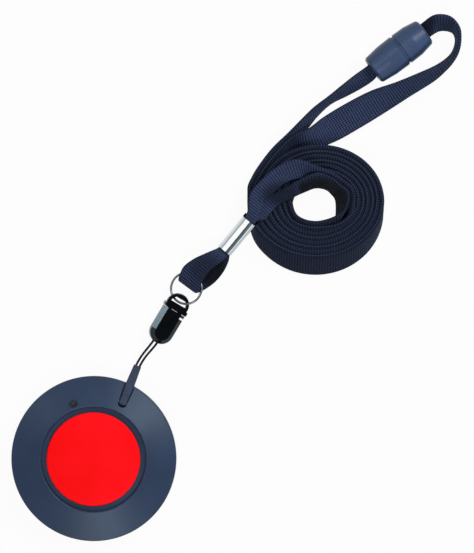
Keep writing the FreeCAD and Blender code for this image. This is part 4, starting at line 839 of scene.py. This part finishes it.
def paintedShadeAt(place, outward):
    # how much painted shade a face at a place, looking outward, gets from the shade zones
    deepest = 0.0
    for hollow in paintedShadeZones:
        toward = Vector(hollow["middleMm"]) - place
        spread = Vector([part / reach for part, reach in zip(toward, hollow["reachMm"])]).length
        inside = min(1, paintedShadeOnset * max(0, 1 - spread))
        turned = min(1, paintedShadeOnset * max(0, toward.normalized().dot(outward)))
        deepest = max(deepest, hollow["depth"] * inside * turned)
    return deepest


def strapMesh(name, samples, startMm=0.0):
    # the webbing's surface round its samples, closed at both ends, with a weave map in millimetres and
    # painted shade at its vertices
    outline = webbing["profile"] + [(-a, -b) for a, b in webbing["profile"]]
    girth = [0.0]
    for (a, b), (c, d) in zip(outline, outline[1:] + outline[:1]):
        width, height = (c - a) * webbing["widthMm"], (d - b) * webbing["thicknessMm"]
        girth.append(girth[-1] + math.hypot(width, height) / 2)
    mesh = bmesh.new()
    weave = mesh.loops.layers.uv.new("weave")
    shade = mesh.verts.layers.float.new("hollowShade")
    rings, travel = [], [startMm]
    for index, (first, second, thickness) in enumerate(samples):
        before = samples[max(index - 1, 0)]
        after = samples[min(index + 1, len(samples) - 1)]
        along = (after[0] + after[1] - before[0] - before[1]).normalized()
        middle, side = (first + second) / 2, (second - first) / 2
        off = along.cross(side).normalized() * (thickness / 2)
        rings.append([mesh.verts.new((middle + side * a + off * b) * mm) for a, b in outline])
        # painted shade on the wound faces between the turns, joined with the shade zones' painted shade
        wound = roll["faceShade"] * min(1, (thickness - webbing["thicknessMm"]) / roll["fullShadeMm"])
        for vert, (a, b) in zip(rings[-1], outline):
            paintedCreaseShade = wound * abs(b) if abs(a) < roll["edgeFrom"] else wound * abs(b) * roll["edgeShade"]
            vert[shade] = max(paintedShadeAt(middle + side * a, off.normalized() * b), paintedCreaseShade)
        if index:
            travel.append(travel[-1] + (middle - (before[0] + before[1]) / 2).length)
    count = len(outline)
    for index, (ring, beyond) in enumerate(zip(rings, rings[1:])):
        for at in range(count):
            following = (at + 1) % count
            face = mesh.faces.new((ring[at], ring[following], beyond[following], beyond[at]))
            marks = ((at, index), (at + 1, index), (at + 1, index + 1), (at, index + 1))
            for loop, (place, row) in zip(face.loops, marks):
                loop[weave].uv = (girth[place], travel[row])
            face.smooth = True
    mesh.faces.new(rings[0][::-1])
    mesh.faces.new(rings[-1])
    bmesh.ops.recalc_face_normals(mesh, faces=mesh.faces)
    data = bpy.data.meshes.new(name)
    mesh.to_mesh(data)
    mesh.free()
    piece = bpy.data.objects.new(name, data)
    bpy.context.scene.collection.objects.link(piece)
    data.materials.append(materials["webbing_navy"])
    return piece, travel[-1] - travel[0]


def makeWebbing():
    # one strand from the connector's socket through the roll to the ring, and back round the neck loop
    strand = backStations + rollStations(0) + woundIn(upperLead) + crimpRun(1)
    strand += ringLoop + crimpRun(-1)[::-1] + woundIn(lowerLead)[::-1] + rollStations(1)[::-1]
    strand += frontStations[::-1] + neckStations[::-1]
    samples = smoothed(strand)
    # the stretch beyond the last station of the front is the end of the neck loop, a piece of its own
    corner = Vector(neckStations[-1][0])
    split = min(range(len(samples)), key=lambda at: (samples[at][0] - corner).length)
    strap, strapLength = strapMesh("webbingStrap", samples[:split + 1])
    loop, loopLength = strapMesh("webbingNeckLoop", samples[split:], strapLength)
    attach(strap, "lanyard")
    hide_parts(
        "strap_back",
        "strap_roll",
        "strap_lead_upper",
        "strap_ring_loop",
        "strap_lead_lower",
        "strap_front",
    )
    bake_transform(loop)
    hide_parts("strap_neck_loop")
    print("webbing: strap", round(strapLength), "mm, neck loop", round(loopLength), "mm")


makeWebbing()

# A pale floor under soft lamps. Where it is seen directly, it is nearly plain white.
studio = {
    "floorSize": 6.0,
    "floorDropMm": 0.25,  # just clear of the webbing's lowest threads
    "paper": "#cecece",
    "white": "#ffffff",
    "worldLevel": 0.16,  # light from all round
    "lampDistance": 1.1,
    # azimuth from +X and angle from straight above, in degrees
    "lamps": {
        "keyLight": {"azimuth": 42, "polar": 45, "size": 0.5, "watts": 9.0},
        "sheenLight": {"azimuth": -92, "polar": 34, "size": 0.3, "watts": 4.2},
        "streakLight": {"azimuth": 127, "polar": 20, "size": 0.3, "watts": 0.8},
        "flankLight": {"azimuth": 149, "polar": 48, "size": 0.16, "watts": 0.9},
    },
    "floorGlow": 0.95,  # share of the floor that is plain white to the camera; the rest keeps the shadow
}


def seenDirectly(tree):
    # 1 where the camera, or metal or glass in front of it, shows the background
    path = addNode(tree, "ShaderNodeLightPath")
    seen = path.outputs["Is Camera Ray"]
    for ray in ("Is Transmission Ray", "Is Glossy Ray"):
        either = addNode(tree, "ShaderNodeMath", {"operation": "MAXIMUM"}, {0: seen, 1: path.outputs[ray]})
        seen = either.outputs["Value"]
    return seen


def makeWorld():
    world = bpy.data.worlds.new("softWhite")
    bpy.context.scene.world = world
    world.use_nodes = True
    tree = world.node_tree
    tree.nodes.clear()
    level = addNode(
        tree,
        "ShaderNodeMapRange",
        {"To Min": studio["worldLevel"], "To Max": 1.0},
        {"Value": seenDirectly(tree)},
    )
    sky = addNode(
        tree,
        "ShaderNodeBackground",
        {"Color": linear(studio["white"])},
        {"Strength": level.outputs["Result"]},
    )
    addNode(tree, "ShaderNodeOutputWorld", None, {"Surface": sky.outputs["Background"]})


def makeFloor():
    drop = studio["floorDropMm"] * mm
    bpy.ops.mesh.primitive_plane_add(size=studio["floorSize"], location=(0, 0, -drop))
    floor = bpy.context.object
    floor.name = "paleFloor"
    material, tree, output = newMaterial("uncoatedPaper")  # matt, so it keeps only a soft shadow
    paper = addNode(tree, "ShaderNodeBsdfDiffuse", {"Color": linear(studio["paper"])})
    glow = addNode(tree, "ShaderNodeEmission", {"Color": linear(studio["white"]), "Strength": 1.0})
    share = addNode(
        tree,
        "ShaderNodeMath",
        {"operation": "MULTIPLY", 1: studio["floorGlow"]},
        {0: seenDirectly(tree)},
    )
    mix = addNode(
        tree,
        "ShaderNodeMixShader",
        None,
        {0: share.outputs["Value"], 1: paper.outputs["BSDF"], 2: glow.outputs["Emission"]},
    )
    tree.links.new(mix.outputs["Shader"], output.inputs["Surface"])
    floor.data.materials.append(material)


def makeLamps():
    x, y = photoView["middleMm"]
    middle = Vector((x * mm, y * mm, 0))
    for name, lamp in studio["lamps"].items():
        azimuth, polar = math.radians(lamp["azimuth"]), math.radians(lamp["polar"])
        flat = math.sin(polar)
        toward = Vector((flat * math.cos(azimuth), flat * math.sin(azimuth), math.cos(polar)))
        bpy.ops.object.light_add(type="AREA", location=middle + toward * studio["lampDistance"])
        light = bpy.context.object
        light.name = name
        light.data.size = lamp["size"]
        light.data.energy = lamp["watts"]
        light.rotation_euler = (-toward).to_track_quat("-Z", "Y").to_euler()


makeWorld()
makeFloor()
makeLamps()
bpy.context.scene.view_settings.view_transform = "Standard"
print("studio made")
